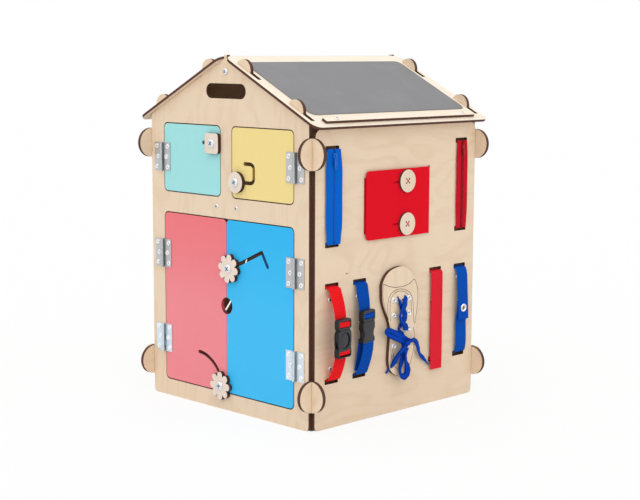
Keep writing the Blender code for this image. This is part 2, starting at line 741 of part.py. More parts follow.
def leaf_mesh(name, own_knuckles, has_pin, steel):
    """One leaf with its knuckles and rivet heads; the pin is held by the wall's leaf."""
    base = Vector((0, BARREL_R - LEAF_T / 2, 0))
    plate = flat(name, [leaf_outline(own_knuckles)], LEAF_T, steel, base, FRONT)
    body = mesh_object(name + "_body", solid_mesh(name, plate), steel)
    body.matrix_world = plate.matrix_world
    bpy.data.objects.remove(plate, do_unlink=True)
    pitch = HINGE_H / KNUCKLE_COUNT
    low = -HINGE_H / 2
    helpers = []
    for k in own_knuckles:
        bottom = low + pitch * k + (FIT / 2 if k else 0)
        top = low + pitch * (k + 1) - (FIT / 2 if k < KNUCKLE_COUNT - 1 else 0)
        knuckle = turned(name + "_knuckle", [(0, bottom), (BARREL_R, bottom), (BARREL_R, top), (0, top)], 12)
        helpers.append(mesh_object(name + "_knuckle", knuckle, steel))
    if has_pin:
        end = low + pitch / 2
        rod = turned(name + "_pin", [(0, end), (PIN_R, end), (PIN_R, -end), (0, -end)], 8)
        helpers.append(mesh_object(name + "_pin", rod, steel))
    rises = ((RIVET_OUT, RIVET_RISE), (RIVET_IN, 0), (RIVET_OUT, -RIVET_RISE))
    for x, z in rises:
        sunk = LEAF_T / 2
        profile = [(0, -sunk), (RIVET_R, -sunk), (RIVET_R * 0.8, RIVET_H), (0, RIVET_H)]
        head = turned(name + "_rivet", profile, 8)
        spot = (x, BARREL_R - LEAF_T, z)
        helpers.append(mesh_object(name + "_rivet", head, steel, spot, (math.pi / 2, 0, 0)))
    boolean(body, helpers, "UNION")
    if not has_pin:
        reach = HINGE_H / 2 + OVERRUN
        bore_r = PIN_R + FIT
        bore = turned(name + "_bore", [(0, -reach), (bore_r, -reach), (bore_r, reach), (0, reach)], 8)
        bore_obj = mesh_object(name + "_bore", bore, steel)
        boolean(body, [bore_obj], "DIFFERENCE")
        helpers.append(bore_obj)
    made = settle(body, helpers)
    mesh = made.data
    mesh.transform(made.matrix_world)
    bpy.data.objects.remove(made, do_unlink=True)
    mesh.shade_smooth()
    mesh.set_sharp_from_angle(angle=math.radians(35))
    return mesh


def build_hinges(steel, doors):
    """Two leaves for each hinge; the moving one rides on its door's pivot."""
    fixed = leaf_mesh("fixed_leaf", (0, 2, 4), True, steel)
    moving = leaf_mesh("moving_leaf", (1, 3), False, steel)
    places = {
        "teal": (-1, (("", UPPER_MID_Z),)),
        "yellow": (1, (("", UPPER_MID_Z),)),
        "red": (-1, (("_upper", DOOR_MID_Z + HINGE_SPREAD), ("_lower", DOOR_MID_Z - HINGE_SPREAD))),
        "blue": (1, (("_upper", DOOR_MID_Z + HINGE_SPREAD), ("_lower", DOOR_MID_Z - HINGE_SPREAD))),
    }
    for colour, (side, spots) in places.items():
        for suffix, z in spots:
            place = (side * HINGE_X, HINGE_Y, z)
            outward = (0, 0, 0) if side > 0 else (0, math.pi, 0)
            inward = (0, math.pi, 0) if side > 0 else (0, 0, 0)
            mesh_object(f"{colour}_hinge{suffix}_wall_leaf", fixed, None, place, outward)
            leaf = mesh_object(f"{colour}_hinge{suffix}_door_leaf", moving, None, place, inward)
            ride_on(doors[colour], leaf)


def door_sheet(name, loops, paint, side):
    """A door on its hinge axis, flush with the wall's face."""
    middle = ROOM_HALF + PLY / 2
    sheet = flat(name, loops, PLY, paint, (0, -middle, 0), FRONT)
    axis = pivot(name + "_axis", (side * HINGE_X, HINGE_Y, 0))
    ride_on(axis, sheet)
    return axis


def yellow_slot():
    """The three legs of the yellow door's slot: out, up round two bends, and back."""
    x = UPPER_LATCH_X
    z = YELLOW_LATCH_Z
    far = x + YELLOW_TRAVEL + YELLOW_BEND
    high = z + YELLOW_RISE
    path = [(x, z)]
    path += arc(far - YELLOW_BEND, z + YELLOW_BEND, YELLOW_BEND, -math.pi / 2, 0, 5)
    path += arc(far - YELLOW_BEND, high - YELLOW_BEND, YELLOW_BEND, 0, math.pi / 2, 5)
    path.append((far - YELLOW_RETURN, high))
    return ribbon(path, BOLT_SLOT, round_ends=True)


def half_hole(side):
    """Points of the finger notch in the meeting edge of a lower door, in order along that edge."""
    edge = MEETING_GAP / 2
    lean = math.asin(edge / FINGER_R)
    if side > 0:
        return arc(0, FINGER_Z, FINGER_R, math.pi / 2 - lean, -math.pi / 2 + lean, 14)
    return arc(0, FINGER_Z, FINGER_R, -math.pi / 2 - lean, -3 * math.pi / 2 + lean, 14)


def lower_door(side):
    inner = side * MEETING_GAP / 2
    outer = side * (LOWER_OUT - DOOR_GAP)
    low = LOWER_LOW + DOOR_GAP
    high = LOWER_HIGH - DOOR_GAP
    left, right = sorted((inner, outer))
    points = rounded(left, low, right, high, DOOR_CORNER - DOOR_GAP)
    steps = len(points) // 4
    if side < 0:
        return points[:steps] + half_hole(side) + points[steps:]
    return points[: 3 * steps] + half_hole(side) + points[3 * steps:]


def build_doors(paints):
    doors = {}
    edge = DOOR_GAP
    for colour, side in (("teal", -1), ("yellow", 1)):
        left, right = sorted((side * (UPPER_IN + edge), side * (UPPER_OUT - edge)))
        outline = rounded(left, UPPER_LOW + edge, right, UPPER_HIGH - edge, DOOR_CORNER - edge)
        slot = yellow_slot()
        if side < 0:
            start = (-UPPER_LATCH_X, TEAL_LATCH_Z)
            end = (-UPPER_LATCH_X - TEAL_TRAVEL, TEAL_LATCH_Z)
            slot = ribbon([start, end], BOLT_SLOT, round_ends=True)
        doors[colour] = door_sheet(colour + "_door", [outline, slot], paints[colour], side)
    swing = ribbon(
        arc(-SWING_X, SWING_Z, SWING_R, SWING_START, SWING_END, 18), BOLT_SLOT, round_ends=True
    )
    doors["red"] = door_sheet("red_door", [lower_door(-1), swing], paints["red"], -1)
    elbow = [(UPPER_FLOWER_X, UPPER_FLOWER_Z), (ELBOW_X, ELBOW_Z), (ELBOW_END_X, ELBOW_END_Z)]
    leg = ribbon(elbow, BOLT_SLOT, round_ends=True)
    doors["blue"] = door_sheet("blue_door", [lower_door(1), leg], paints["blue"], 1)
    return doors


def flower():
    """Outline of a round flower with its petals."""
    steps = PETALS * 8
    points = []
    for i in range(steps):
        angle = 2 * math.pi * i / steps
        swell = abs(math.cos(PETALS * angle / 2)) ** 0.55
        radius = FLOWER_WAIST + (FLOWER_R - FLOWER_WAIST) * swell
        points.append((radius * math.cos(angle), radius * math.sin(angle)))
    return points


def latch(name, outline, x, z, parent, wood, steel):
    """A knob on its bolt, with the washer and nut that keep it on the door."""
    back = WALL_FACE + FIT
    knob = flat(
        name + "_knob", [outline, circle(0, 0, BOLT_R + FIT, 12)], KNOB_T, wood,
        (x, -(back + KNOB_T / 2), z), FRONT,
    )
    under = -(KNOB_T + PLY + 2 * FIT)
    profile = [
        (0, under - WASHER_T - NUT_H), (NUT_R, under - WASHER_T - NUT_H), (NUT_R, under - WASHER_T),
        (WASHER_R, under - WASHER_T), (WASHER_R, under), (BOLT_R, under), (BOLT_R, FIT), *pan_head(FIT),
    ]
    bolt = mesh_object(
        name + "_bolt", turned(name + "_bolt", profile), steel, (x, -(back + KNOB_T), z), FRONT
    )
    ride_on(parent, knob, bolt)


def build_latches(wood, steel, doors):
    half = SQUARE_KNOB / 2
    y = -(WALL_FACE + FIT)
    square = rounded(-half, -half, half, half, SQUARE_KNOB_CORNER, 4)
    plans = (
        ("teal", "teal_latch", square, -UPPER_LATCH_X, TEAL_LATCH_Z),
        ("yellow", "yellow_latch", circle(0, 0, ROUND_KNOB_R, 32), UPPER_LATCH_X, YELLOW_LATCH_Z),
        ("blue", "upper_flower", flower(), UPPER_FLOWER_X, UPPER_FLOWER_Z),
    )
    for colour, name, outline, x, z in plans:
        slide = pivot(name + "_slide", (x, y, z))
        ride_on(doors[colour], slide)
        bpy.context.view_layer.update()
        latch(name, outline, x, z, slide, wood, steel)
    swing = pivot("lower_flower_swing", (-SWING_X, y, SWING_Z))
    ride_on(doors["red"], swing)
    bpy.context.view_layer.update()
    x = -SWING_X + SWING_R * math.cos(SWING_START)
    z = SWING_Z + SWING_R * math.sin(SWING_START)
    latch("lower_flower", flower(), x, z, swing, wood, steel)


def web(name, path, width, thickness, y, fabric):
    """A woven band, as wide as given and centred at y, along a path of (x, z) points."""
    outline = ribbon([tuple(p) for p in path], thickness)
    return flat(name, [outline], width, fabric, (0, y, 0), FRONT)


def lane(z, above):
    """Height at which a band runs through a slot; above tells whether the slot is its upper one."""
    side = 1 if above else -1
    return z - side * (SLOT_H / 2 - WEB_T * 1.6)


def entry(z, above):
    """How a band comes out of a slot: up or down behind the wall, then through it, as (x, z) points."""
    side = 1 if above else -1
    level = lane(z, above)
    behind = ROOM_HALF - FIT - WEB_T
    return [
        (behind, level - side * WEB_INSIDE), (behind, level - side * WEB_BEND / 2),
        (behind + WEB_BEND / 3, level), (WALL_FACE - WEB_BEND / 3, level),
    ]


def arch(z_from, z_to, reach, start_share, end_share, steps=7):
    """The way a band rises off the wall between two heights, from a share of its reach to another."""
    points = []
    for i in range(steps + 1):
        t = i / steps
        share = start_share + (end_share - start_share) * math.sin(t * math.pi / 2)
        points.append((WALL_FACE + WEB_T + reach * share, z_from + (z_to - z_from) * t))
    return points


def build_buckled_strap(colour, y, buckle_z, buckle_h, bow, fabric, plastic):
    """A strap in two halves with its side-release buckle; the socket pulls down off the plug."""
    top = buckle_z + buckle_h / 2
    bottom = buckle_z - buckle_h / 2
    plug_low = top - PLUG_FRAME
    middle = WALL_FACE + WEB_T + bow
    upper_bar = top - BAR_W - WEB_WINDOW / 2
    lower_bar = bottom + BAR_W + WEB_WINDOW / 2
    lane_high = lane(STRAP_HIGH_Z, True)
    lane_low = lane(STRAP_LOW_Z, False)
    clear = BUCKLE_T / 2 + WEB_T / 2 + FIT
    back_share = (bow - clear) / bow
    path = entry(STRAP_HIGH_Z, True)
    path += arch(lane_high - WEB_BEND / 2, upper_bar - BAR_W, bow, 0.12, back_share)
    web(f"{colour}_strap_upper", path, WEB_W, WEB_T, y, fabric)
    path = entry(STRAP_LOW_Z, False)
    path += arch(lane_low + WEB_BEND / 2, lower_bar + BAR_W, bow, 0.12, back_share)
    web(f"{colour}_strap_lower", path, WEB_W, WEB_T, y, fabric)

    half = BUCKLE_W / 2
    window_half = WEB_W / 2
    tip = plug_low - (plug_low - bottom) * 0.52
    outer = half - BUCKLE_WALL
    arm_in = outer - ARM_W
    tongue = TONGUE_W / 2
    frame = rounded(y - half, plug_low, y + half, top, (FIT, BUCKLE_CORNER, BUCKLE_CORNER, FIT), 3)
    prongs = [
        (y + outer, plug_low), (y + outer, tip + ARM_W), (y + arm_in, tip),
        (y + arm_in, plug_low - ARM_W / 2), (y + tongue, plug_low - ARM_W / 2), (y + tongue, tip),
        (y - tongue, tip), (y - tongue, plug_low - ARM_W / 2), (y - arm_in, plug_low - ARM_W / 2),
        (y - arm_in, tip), (y - outer, tip + ARM_W), (y - outer, plug_low),
    ]
    window = slot_at(y, upper_bar, WEB_W, WEB_WINDOW)
    plug = flat(f"{colour}_plug_frame", [frame, window], BUCKLE_T, plastic, (middle, 0, 0), SIDE)
    fork_outline = [(px, pz + (BAR_W if pz == plug_low else 0)) for px, pz in prongs]
    fork = flat(f"{colour}_plug_fork", [fork_outline], PLUG_T, plastic, (middle, 0, 0), SIDE)
    plug_body = mesh_object(f"{colour}_plug_body", solid_mesh("plug", plug), plastic)
    plug_body.matrix_world = plug.matrix_world
    fork_body = mesh_object(f"{colour}_fork_body", solid_mesh("fork", fork), plastic)
    fork_body.matrix_world = fork.matrix_world
    for item in (plug, fork):
        bpy.data.objects.remove(item, do_unlink=True)
    boolean(plug_body, [fork_body], "UNION")
    settle(plug_body, [fork_body]).name = f"{colour}_buckle_plug"

    mouth = plug_low - FIT
    radii = (BUCKLE_CORNER, FIT, FIT, BUCKLE_CORNER)
    case = rounded(y - half, bottom, y + half, mouth, radii, 3)
    low_window = slot_at(y, lower_bar, WEB_W, WEB_WINDOW)
    shell = flat(f"{colour}_socket_case", [case, low_window], BUCKLE_T, plastic, (middle, 0, 0), SIDE)
    depth = mouth - tip + ARM_W / 2
    cavity_half = outer + MOUTH_PLAY
    cavity = rounded(
        y - cavity_half, mouth - depth, y + cavity_half, mouth + OVERRUN, SLOT_CORNER, 2
    )
    room = flat("cavity", [cavity], PLUG_T + 2 * MOUTH_PLAY, plastic, (middle, 0, 0), SIDE)
    thumb_mid = (mouth + tip) / 2
    side_cut = rounded(
        y - half - OVERRUN, thumb_mid - THUMB_WINDOW / 2, y + half + OVERRUN,
        thumb_mid + THUMB_WINDOW / 2, SLOT_CORNER, 2,
    )
    window = flat("thumbs", [side_cut], PLUG_T + 2 * MOUTH_PLAY, plastic, (middle, 0, 0), SIDE)
    case_body = mesh_object(f"{colour}_socket_body", solid_mesh("socket", shell), plastic)
    case_body.matrix_world = shell.matrix_world
    cutters = []
    for item in (room, window):
        cutter = mesh_object(item.name + "_cutter", solid_mesh("cutter", item), plastic)
        cutter.matrix_world = item.matrix_world
        cutters.append(cutter)
    for item in (shell, room, window):
        bpy.data.objects.remove(item, do_unlink=True)
    boolean(case_body, cutters, "DIFFERENCE")
    made = settle(case_body, cutters)
    made.name = f"{colour}_buckle_socket"


def build_band(fabric):
    """The hook-and-loop band: the outer half hangs over the inner one."""
    outer_x = WALL_FACE + BAND_BOW
    top = lane(STRAP_HIGH_Z, True)
    path = entry(STRAP_HIGH_Z, True)
    path += [(outer_x - BAND_T / 2, top - WEB_BEND / 2), (outer_x, top - 2 * WEB_BEND), (outer_x, BAND_END_Z)]
    web("red_band_outer", path, BAND_W, BAND_T, INNER_COLUMN, fabric)
    inner_x = outer_x - BAND_T - FIT
    path = entry(STRAP_LOW_Z, False)
    path += [(inner_x, lane(STRAP_LOW_Z, False) + WEB_BEND / 2), (inner_x, INNER_BAND_TOP)]
    web("red_band_inner", path, WEB_W, BAND_T, INNER_COLUMN, fabric)


def build_snap_strap(fabric, steel):
    """The strap that closes with a press stud: the upper tongue lies over the lower one."""
    lane_high = lane(STRAP_HIGH_Z, True)
    lane_low = lane(STRAP_LOW_Z, False)
    path = entry(STRAP_HIGH_Z, True)
    path += arch(lane_high - WEB_BEND / 2, SNAP_Z + SNAP_R, SNAP_BOW, 0.15, 1.0)
    path.append((WALL_FACE + WEB_T + SNAP_BOW, SNAP_TONGUE_END))
    web("snap_strap_upper", path, WEB_W, WEB_T, OUTER_COLUMN, fabric)
    under = SNAP_BOW - WEB_T - FIT
    path = entry(STRAP_LOW_Z, False)
    path += arch(lane_low + WEB_BEND / 2, SNAP_Z - 2 * SNAP_R, under, 0.15, 1.0)
    path.append((WALL_FACE + WEB_T + under, SNAP_UNDER_TOP))
    web("snap_strap_lower", path, WEB_W, WEB_T, OUTER_COLUMN, fabric)
    profile = [
        (0, 0), (SNAP_R, 0), (SNAP_R, SNAP_H * 0.4), (SNAP_R * 0.8, SNAP_H * 0.85),
        (SNAP_R * 0.45, SNAP_H), (SNAP_R * 0.3, SNAP_H * 0.7), (0, SNAP_H * 0.6),
    ]
    front = WALL_FACE + WEB_T * 1.5 + SNAP_BOW + FIT
    place = (front, OUTER_COLUMN, SNAP_Z)
    mesh_object("snap_cap", turned("snap_cap", profile), steel, place, (0, math.pi / 2, 0))


def build_zips(blue, red, steel):
    for name, side, fabric in (("blue_zip_tape", -1, blue), ("red_zip_tape", 1, red)):
        out = WALL_FACE + TAPE_BOW
        high = lane(ZIP_HIGH_Z, True)
        low = lane(ZIP_LOW_Z, False)
        path = entry(ZIP_HIGH_Z, True)
        path += [(out - TAPE_T, high - WEB_BEND / 2), (out, high - WEB_BEND), (out, low + WEB_BEND)]
        path += [(out - TAPE_T, low + WEB_BEND / 2), *reversed(entry(ZIP_LOW_Z, False))]
        web(name, path, TAPE_W, TAPE_T, side * OUTER_COLUMN, fabric)
    face = WALL_FACE + TAPE_BOW + TAPE_T / 2 + FIT
    wide = SLIDER_W / 2
    tall = SLIDER_H / 2
    body = rounded(-wide, -tall, wide, tall, (SLIDER_W / 3, SLIDER_CORNER, SLIDER_CORNER, SLIDER_W / 3), 4)
    slider = flat("slider_body", [body], SLIDER_T, steel, (face + SLIDER_T / 2, 0, 0), SIDE)
    half = PULL_W / 2
    pull = [
        rounded(-half, -PULL_H, half, 0, half - FIT, 6),
        circle(0, half - PULL_H, PULL_HOLE_R, 12),
    ]
    tab = flat("pull", pull, PULL_T, steel, (face + SLIDER_T, 0, 0), SIDE)
    body_obj = mesh_object("slider_solid", solid_mesh("slider", slider), steel)
    body_obj.matrix_world = slider.matrix_world
    tab_obj = mesh_object("pull_solid", solid_mesh("pull", tab), steel)
    tab_obj.matrix_world = tab.matrix_world
    for item in (slider, tab):
        bpy.data.objects.remove(item, do_unlink=True)
    boolean(body_obj, [tab_obj], "UNION")
    made = settle(body_obj, [tab_obj])
    made.name = "blue_zip_slider"
    made.location = made.location + Vector((0, -OUTER_COLUMN, SLIDER_Z))


def build_flap(fabric, wood):
    """Two halves of cloth out of two slits, the upper one buttoned over the lower one."""
    under_x = WALL_FACE + FLAP_LIFT + FLAP_T / 2
    over_x = under_x + FLAP_T + FLAP_LIFT
    inside = ROOM_HALF - WEB_BEND
    bend = WEB_BEND / 2
    slot_left = flap_slot_y(-1)
    path = [(slot_left, inside), (slot_left, WALL_FACE + FLAP_T / 2), (slot_left + bend, under_x)]
    path.append((UNDER_RIGHT, under_x))
    height = FLAP_HIGH - FLAP_LOW
    outline = [(x, y) for y, x in ribbon(path, FLAP_T)]
    flat("flap_under", [outline], height - 2 * UNDER_INSET, fabric, (0, 0, FLAP_MID_Z))
    slot_right = flap_slot_y(1)
    path = [(slot_right, inside), (slot_right, WALL_FACE + FLAP_T / 2), (slot_right - bend, under_x)]
    path += [(UNDER_RIGHT + 2 * bend, under_x), (UNDER_RIGHT + bend / 2, over_x), (-FLAP_LEFT, over_x)]
    outline = [(x, y) for y, x in ribbon(path, FLAP_T)]
    flat("flap_over", [outline], height, fabric, (0, 0, FLAP_MID_Z))
    spread = THREAD_HOLE_SPREAD / 2
    holes = [circle(a * spread, b * spread, THREAD_HOLE_R, 8) for a in (-1, 1) for b in (-1, 1)]
    face = over_x + FLAP_T / 2 + FIT + BUTTON_T / 2
    for name, side in (("button_upper", 1), ("button_lower", -1)):
        place = (face, BUTTON_Y, FLAP_MID_Z + side * BUTTON_RISE)
        flat(name, [circle(0, 0, BUTTON_R, 32), *holes], BUTTON_T, wood, place, SIDE)


def build_shoe(wood):
    outline = smooth_closed(
        [(SHOE_Y + SHOE_W * across, SHOE_LOW + SHOE_L * along) for across, along in SHOE_OUTLINE_SHARES]
    )
    holes = []
    for row in range(EYELET_ROWS):
        for side in (-1, 1):
            z = EYELET_TOP - EYELET_PITCH * row
            holes.append(circle(EYELET_MID + side * EYELET_HALF, z, EYELET_R, 12))
    flat("shoe_board", [outline, *holes], PLY, wood, (WALL_FACE + FIT + PLY / 2, 0, 0), SIDE)


def cord(name, points, fabric):
    data = bpy.data.curves.new(name, "CURVE")
    data.dimensions = "3D"
    data.bevel_depth = LACE_R
    data.bevel_resolution = 2
    data.use_fill_caps = True
    spline = data.splines.new("POLY")
    spline.points.add(len(points) - 1)
    for point, place in zip(spline.points, points):
        point.co = (*place, 1)
    data.materials.append(fabric)
    obj = bpy.data.objects.new(name, data)
    bpy.context.scene.collection.objects.link(obj)
    return obj


def build_lace(fabric):
    for name, route in (("lace_lacing", LACING_ROUTE), ("lace_bow", BOW_ROUTE), ("lace_ends", ENDS_ROUTE)):
        cord(name, smooth_open(route, LACE_STEP), fabric)


def main():
    clear_scene()
    wood = material("birch_plywood", (0.80, 0.62, 0.42), 0.55)
    slate = material("chalkboard_grey", (0.25, 0.25, 0.26), 0.6)
    steel = material("zinc_plated_steel", (0.62, 0.64, 0.66), 0.35, 1.0)
    paints = {
        "teal": material("teal_paint", (0.35, 0.75, 0.72), 0.45),
        "yellow": material("yellow_paint", (0.85, 0.70, 0.27), 0.45),
        "red": material("coral_paint", (0.80, 0.20, 0.22), 0.45),
        "blue": material("blue_paint", (0.04, 0.45, 0.85), 0.45),
    }
    red_cloth = material("red_webbing", (0.75, 0.02, 0.03), 0.8)
    blue_cloth = material("blue_webbing", (0.01, 0.10, 0.55), 0.8)
    plastic = material("black_plastic", (0.02, 0.02, 0.02), 0.4)
    build_walls(wood)
    build_roof(wood, slate)
    build_inner_blocks(wood, steel)
    doors = build_doors(paints)
    build_hinges(steel, doors)
    build_latches(wood, steel, doors)
    build_zips(blue_cloth, red_cloth, steel)
    build_flap(red_cloth, wood)
    build_buckled_strap(
        "red", -OUTER_COLUMN, RED_BUCKLE_Z, RED_BUCKLE_H, RED_BUCKLE_BOW, red_cloth, plastic
    )
    build_buckled_strap(
        "blue", -INNER_COLUMN, BLUE_BUCKLE_Z, BLUE_BUCKLE_H, BLUE_BUCKLE_BOW, blue_cloth, plastic
    )
    build_band(red_cloth)
    build_snap_strap(blue_cloth, steel)
    build_shoe(wood)
    build_lace(blue_cloth)


main()
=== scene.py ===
import math
import bmesh
import bpy
from mathutils import Matrix, Vector


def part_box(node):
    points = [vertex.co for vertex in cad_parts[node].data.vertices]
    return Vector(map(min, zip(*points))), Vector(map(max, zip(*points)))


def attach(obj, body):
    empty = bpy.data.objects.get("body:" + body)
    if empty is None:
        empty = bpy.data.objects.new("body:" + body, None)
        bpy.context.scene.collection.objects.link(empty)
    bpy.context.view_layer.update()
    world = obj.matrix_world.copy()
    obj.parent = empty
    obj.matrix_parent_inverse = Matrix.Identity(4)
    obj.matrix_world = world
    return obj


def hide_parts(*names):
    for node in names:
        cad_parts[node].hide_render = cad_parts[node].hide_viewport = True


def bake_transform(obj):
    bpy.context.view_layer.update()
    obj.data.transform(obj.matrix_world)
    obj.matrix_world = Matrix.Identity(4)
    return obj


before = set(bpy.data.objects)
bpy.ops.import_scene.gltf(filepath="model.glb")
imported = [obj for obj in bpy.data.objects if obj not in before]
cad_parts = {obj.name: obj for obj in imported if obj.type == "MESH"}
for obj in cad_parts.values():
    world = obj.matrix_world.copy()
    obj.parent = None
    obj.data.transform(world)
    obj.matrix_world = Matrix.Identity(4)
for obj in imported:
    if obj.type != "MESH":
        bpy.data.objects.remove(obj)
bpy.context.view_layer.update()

# Places shared with the solids, in metres
WALL_FACE = 0.186
ROOM_HALF = 0.180
FIT = 0.0003
SLOT_H = 0.008
WEB_T = 0.0014
WEB_W = 0.025
WEB_INSIDE = 0.030
WEB_BEND = 0.0045
OUTER_COLUMN = 0.1453
INNER_COLUMN = 0.0862
STRAP_LOW = 0.071
STRAP_HIGH = 0.2133
ROOF_PITCH = math.radians(26.7)
SIN, COS = math.sin(ROOF_PITCH), math.cos(ROOF_PITCH)
RIDGE_Z = 0.5434
HINGE_X = 0.152
OUT = Vector((1, 0, 0))
FACE_OUT = Matrix.Rotation(math.pi / 2, 4, "Y")


# ---- mesh helpers ----
def mm(value):
    """Millimetres to metres, in a number or in rows of numbers."""
    return value / 1000 if isinstance(value, (int, float)) else [mm(v) for v in value]


def add_object(name, data, *materials):
    obj = bpy.data.objects.new(name, data)
    bpy.context.scene.collection.objects.link(obj)
    for material in materials:
        data.materials.append(material)
    return obj


def discard(*objects):
    for obj in objects:
        bpy.data.objects.remove(obj, do_unlink=True)


def smooth(mesh, sharp):
    mesh.shade_smooth()
    mesh.set_sharp_from_angle(angle=math.radians(sharp))
    return mesh


def mesh_of(name, bm, sharp):
    mesh = bpy.data.meshes.new(name)
    bm.to_mesh(mesh)
    bm.free()
    return smooth(mesh, sharp)


def from_bmesh(name, bm, *materials, sharp=35):
    return add_object(name, mesh_of(name, bm, sharp), *materials)


def finished_mesh(obj):
    """The mesh that an object's modifiers or curve settings make."""
    graph = bpy.context.evaluated_depsgraph_get()
    return bpy.data.meshes.new_from_object(obj.evaluated_get(graph))


def apply_modifiers(obj):
    mesh = finished_mesh(obj)
    obj.modifiers.clear()
    obj.data = mesh


def cut_away(body, cutters, use_self=False):
    for cutter in cutters:
        cut = body.modifiers.new("cut", "BOOLEAN")
        cut.operation, cut.solver, cut.object, cut.use_self = "DIFFERENCE", "EXACT", cutter, use_self
    apply_modifiers(body)
    discard(*cutters)


def grow(low, high):
    """A share that grows smoothly from 0 at low to 1 at high."""
    def share(t):
        t = min(1.0, max(0.0, (t - low) / (high - low)))
        return t * t * (3 - 2 * t)
    return share


def path_length(points):
    return sum((q - p).length for p, q in zip(points, points[1:]))


def smooth_path(points, step):
    """Evenly spaced points along a rounded curve through the route, ends kept."""
    pts = [Vector(p) for p in points]
    pts = [pts[0] * 2 - pts[1], *pts, pts[-1] * 2 - pts[-2]]
    dense = []
    for a, b, c, d in zip(pts, pts[1:], pts[2:], pts[3:]):
        for i in range(24):
            t = i / 24
            dense.append(0.5 * (2 * b + (c - a) * t + (2 * a - 5 * b + 4 * c - d) * t * t
                                + (3 * b - a - 3 * c + d) * t ** 3))
    dense.append(pts[-2])
    total = path_length(dense)
    count = max(2, round(total / step))
    gap = total / count
    found = [dense[0]]
    run = 0.0
    for p, q in zip(dense, dense[1:]):
        length = (q - p).length
        while length > 0 and run + length >= gap * len(found) and len(found) < count:
            found.append(p.lerp(q, (gap * len(found) - run) / length))
        run += length
    return [*found, dense[-1]]


def headings(path):
    """The way ahead at each point of a path."""
    last = len(path) - 1
    return [(path[min(i + 1, last)] - path[max(i - 1, 0)]).normalized() for i in range(last + 1)]


def sweep(name, centres, sides, ups, section, material):
    """A closed skin along a path; section(i, run) gives the (across, up) points of ring i, run metres along.

    Its UV map holds the place across the band and along it, in metres.
    """
    bm = bmesh.new()
    uv = bm.loops.layers.uv.new("UVMap")
    rings, marks, run = [], [], 0.0
    for i, centre in enumerate(centres):
        run += (centre - centres[max(i - 1, 0)]).length
        points = section(i, run)
        rings.append([bm.verts.new(centre + sides[i] * a + ups[i] * b) for a, b in points])
        marks.append([(a, run) for a, _ in points + points[:1]])
    count = len(rings[0])
    for near, far, low, high in zip(rings, rings[1:], marks, marks[1:]):
        for k in range(count):
            n = (k + 1) % count
            face = bm.faces.new((near[k], near[n], far[n], far[k]))
            for loop, mark in zip(face.loops, (low[k], low[k + 1], high[k + 1], high[k])):
                loop[uv].uv = mark
    for ring, row in ((rings[0][::-1], marks[0]), (rings[-1], marks[-1])):
        for loop in bm.faces.new(ring).loops:
            loop[uv].uv = row[0]
    bmesh.ops.recalc_face_normals(bm, faces=bm.faces)
    return from_bmesh(name, bm, material, sharp=50)


def flat_section(*right):
    """The (across, up) shares round a flat band, from those of its top right."""
    top = [(-a, b) for a, b in reversed(right)] + [(0.0, 1.0), *right]
    return [(-1.0, 0.0), *top, (1.0, 0.0), *((a, -b) for a, b in reversed(top))]


BAND_SHARES = flat_section((0.5, 1.0), (0.93, 1.0), (0.985, 0.7))
LACE_SHARES = flat_section((0.55, 1.0), (0.9, 0.75))


def band(name, route, y, width, thickness, fabric, rib=0.0, pitch=0.0025, scallop=0.0, step=0.0007,
         waist=None, lean=None):
    """A woven band along (x, z) points; rib is how deep its cross ribs are, scallop how far its edge waves.

    waist(t) is its share of the full width at share t of its length, and lean(t) the angle by which its
    left edge stands farther from the wall than its right one.
    """
    centres = [Vector((p.x, y, p.y)) for p in smooth_path(route, step)]
    ups = [Vector((ahead.z, 0, -ahead.x)).normalized() for ahead in headings(centres)]
    if ups[len(ups) // 2].x < 0:
        ups = [-up for up in ups]
    sides = [Vector((0, 1, 0))] * len(centres)
    if lean:
        for i, (side, up) in enumerate(zip(list(sides), list(ups))):
            angle = lean(i / (len(centres) - 1))
            sides[i] = side * math.cos(angle) - up * math.sin(angle)
            ups[i] = up * math.cos(angle) + side * math.sin(angle)
    total = path_length(centres)

    def section(i, run):
        wave = math.cos(2 * math.pi * run / pitch)
        half = (width / 2 - scallop * (0.5 - 0.5 * wave)) * (waist(run / total) if waist else 1.0)
        thick = thickness / 2 + rib * 0.5 * wave
        return [(a * half, b * thick) for a, b in BAND_SHARES]

    return sweep(name, centres, sides, ups, section, fabric)


def round_loop(cx, cz, radius, steps):
    turns = [2 * math.pi * i / steps for i in range(steps)]
    return [(cx + radius * math.cos(a), cz + radius * math.sin(a)) for a in turns]


def round_box(x0, z0, x1, z1, radius, steps):
    loop = []
    for cx, cz, start in ((x1 - radius, z1 - radius, 0), (x0 + radius, z1 - radius, 90),
                          (x0 + radius, z0 + radius, 180), (x1 - radius, z0 + radius, 270)):
        for i in range(steps + 1):
            angle = math.radians(start + 90 * i / steps)
            loop.append((cx + radius * math.cos(angle), cz + radius * math.sin(angle)))
    return loop


def wire(route, step, radius, material, up=None):
    """A thin round strand along a route, lying flat to the wall."""
    centres = smooth_path(route, step)
    ways = headings(centres)
    sides = [OUT.cross(way).normalized() for way in ways]
    ups = [up or way.cross(side).normalized() for way, side in zip(ways, sides)]
    return sweep("strand", centres, sides, ups, lambda i, run: round_loop(0, 0, radius, 8), material)


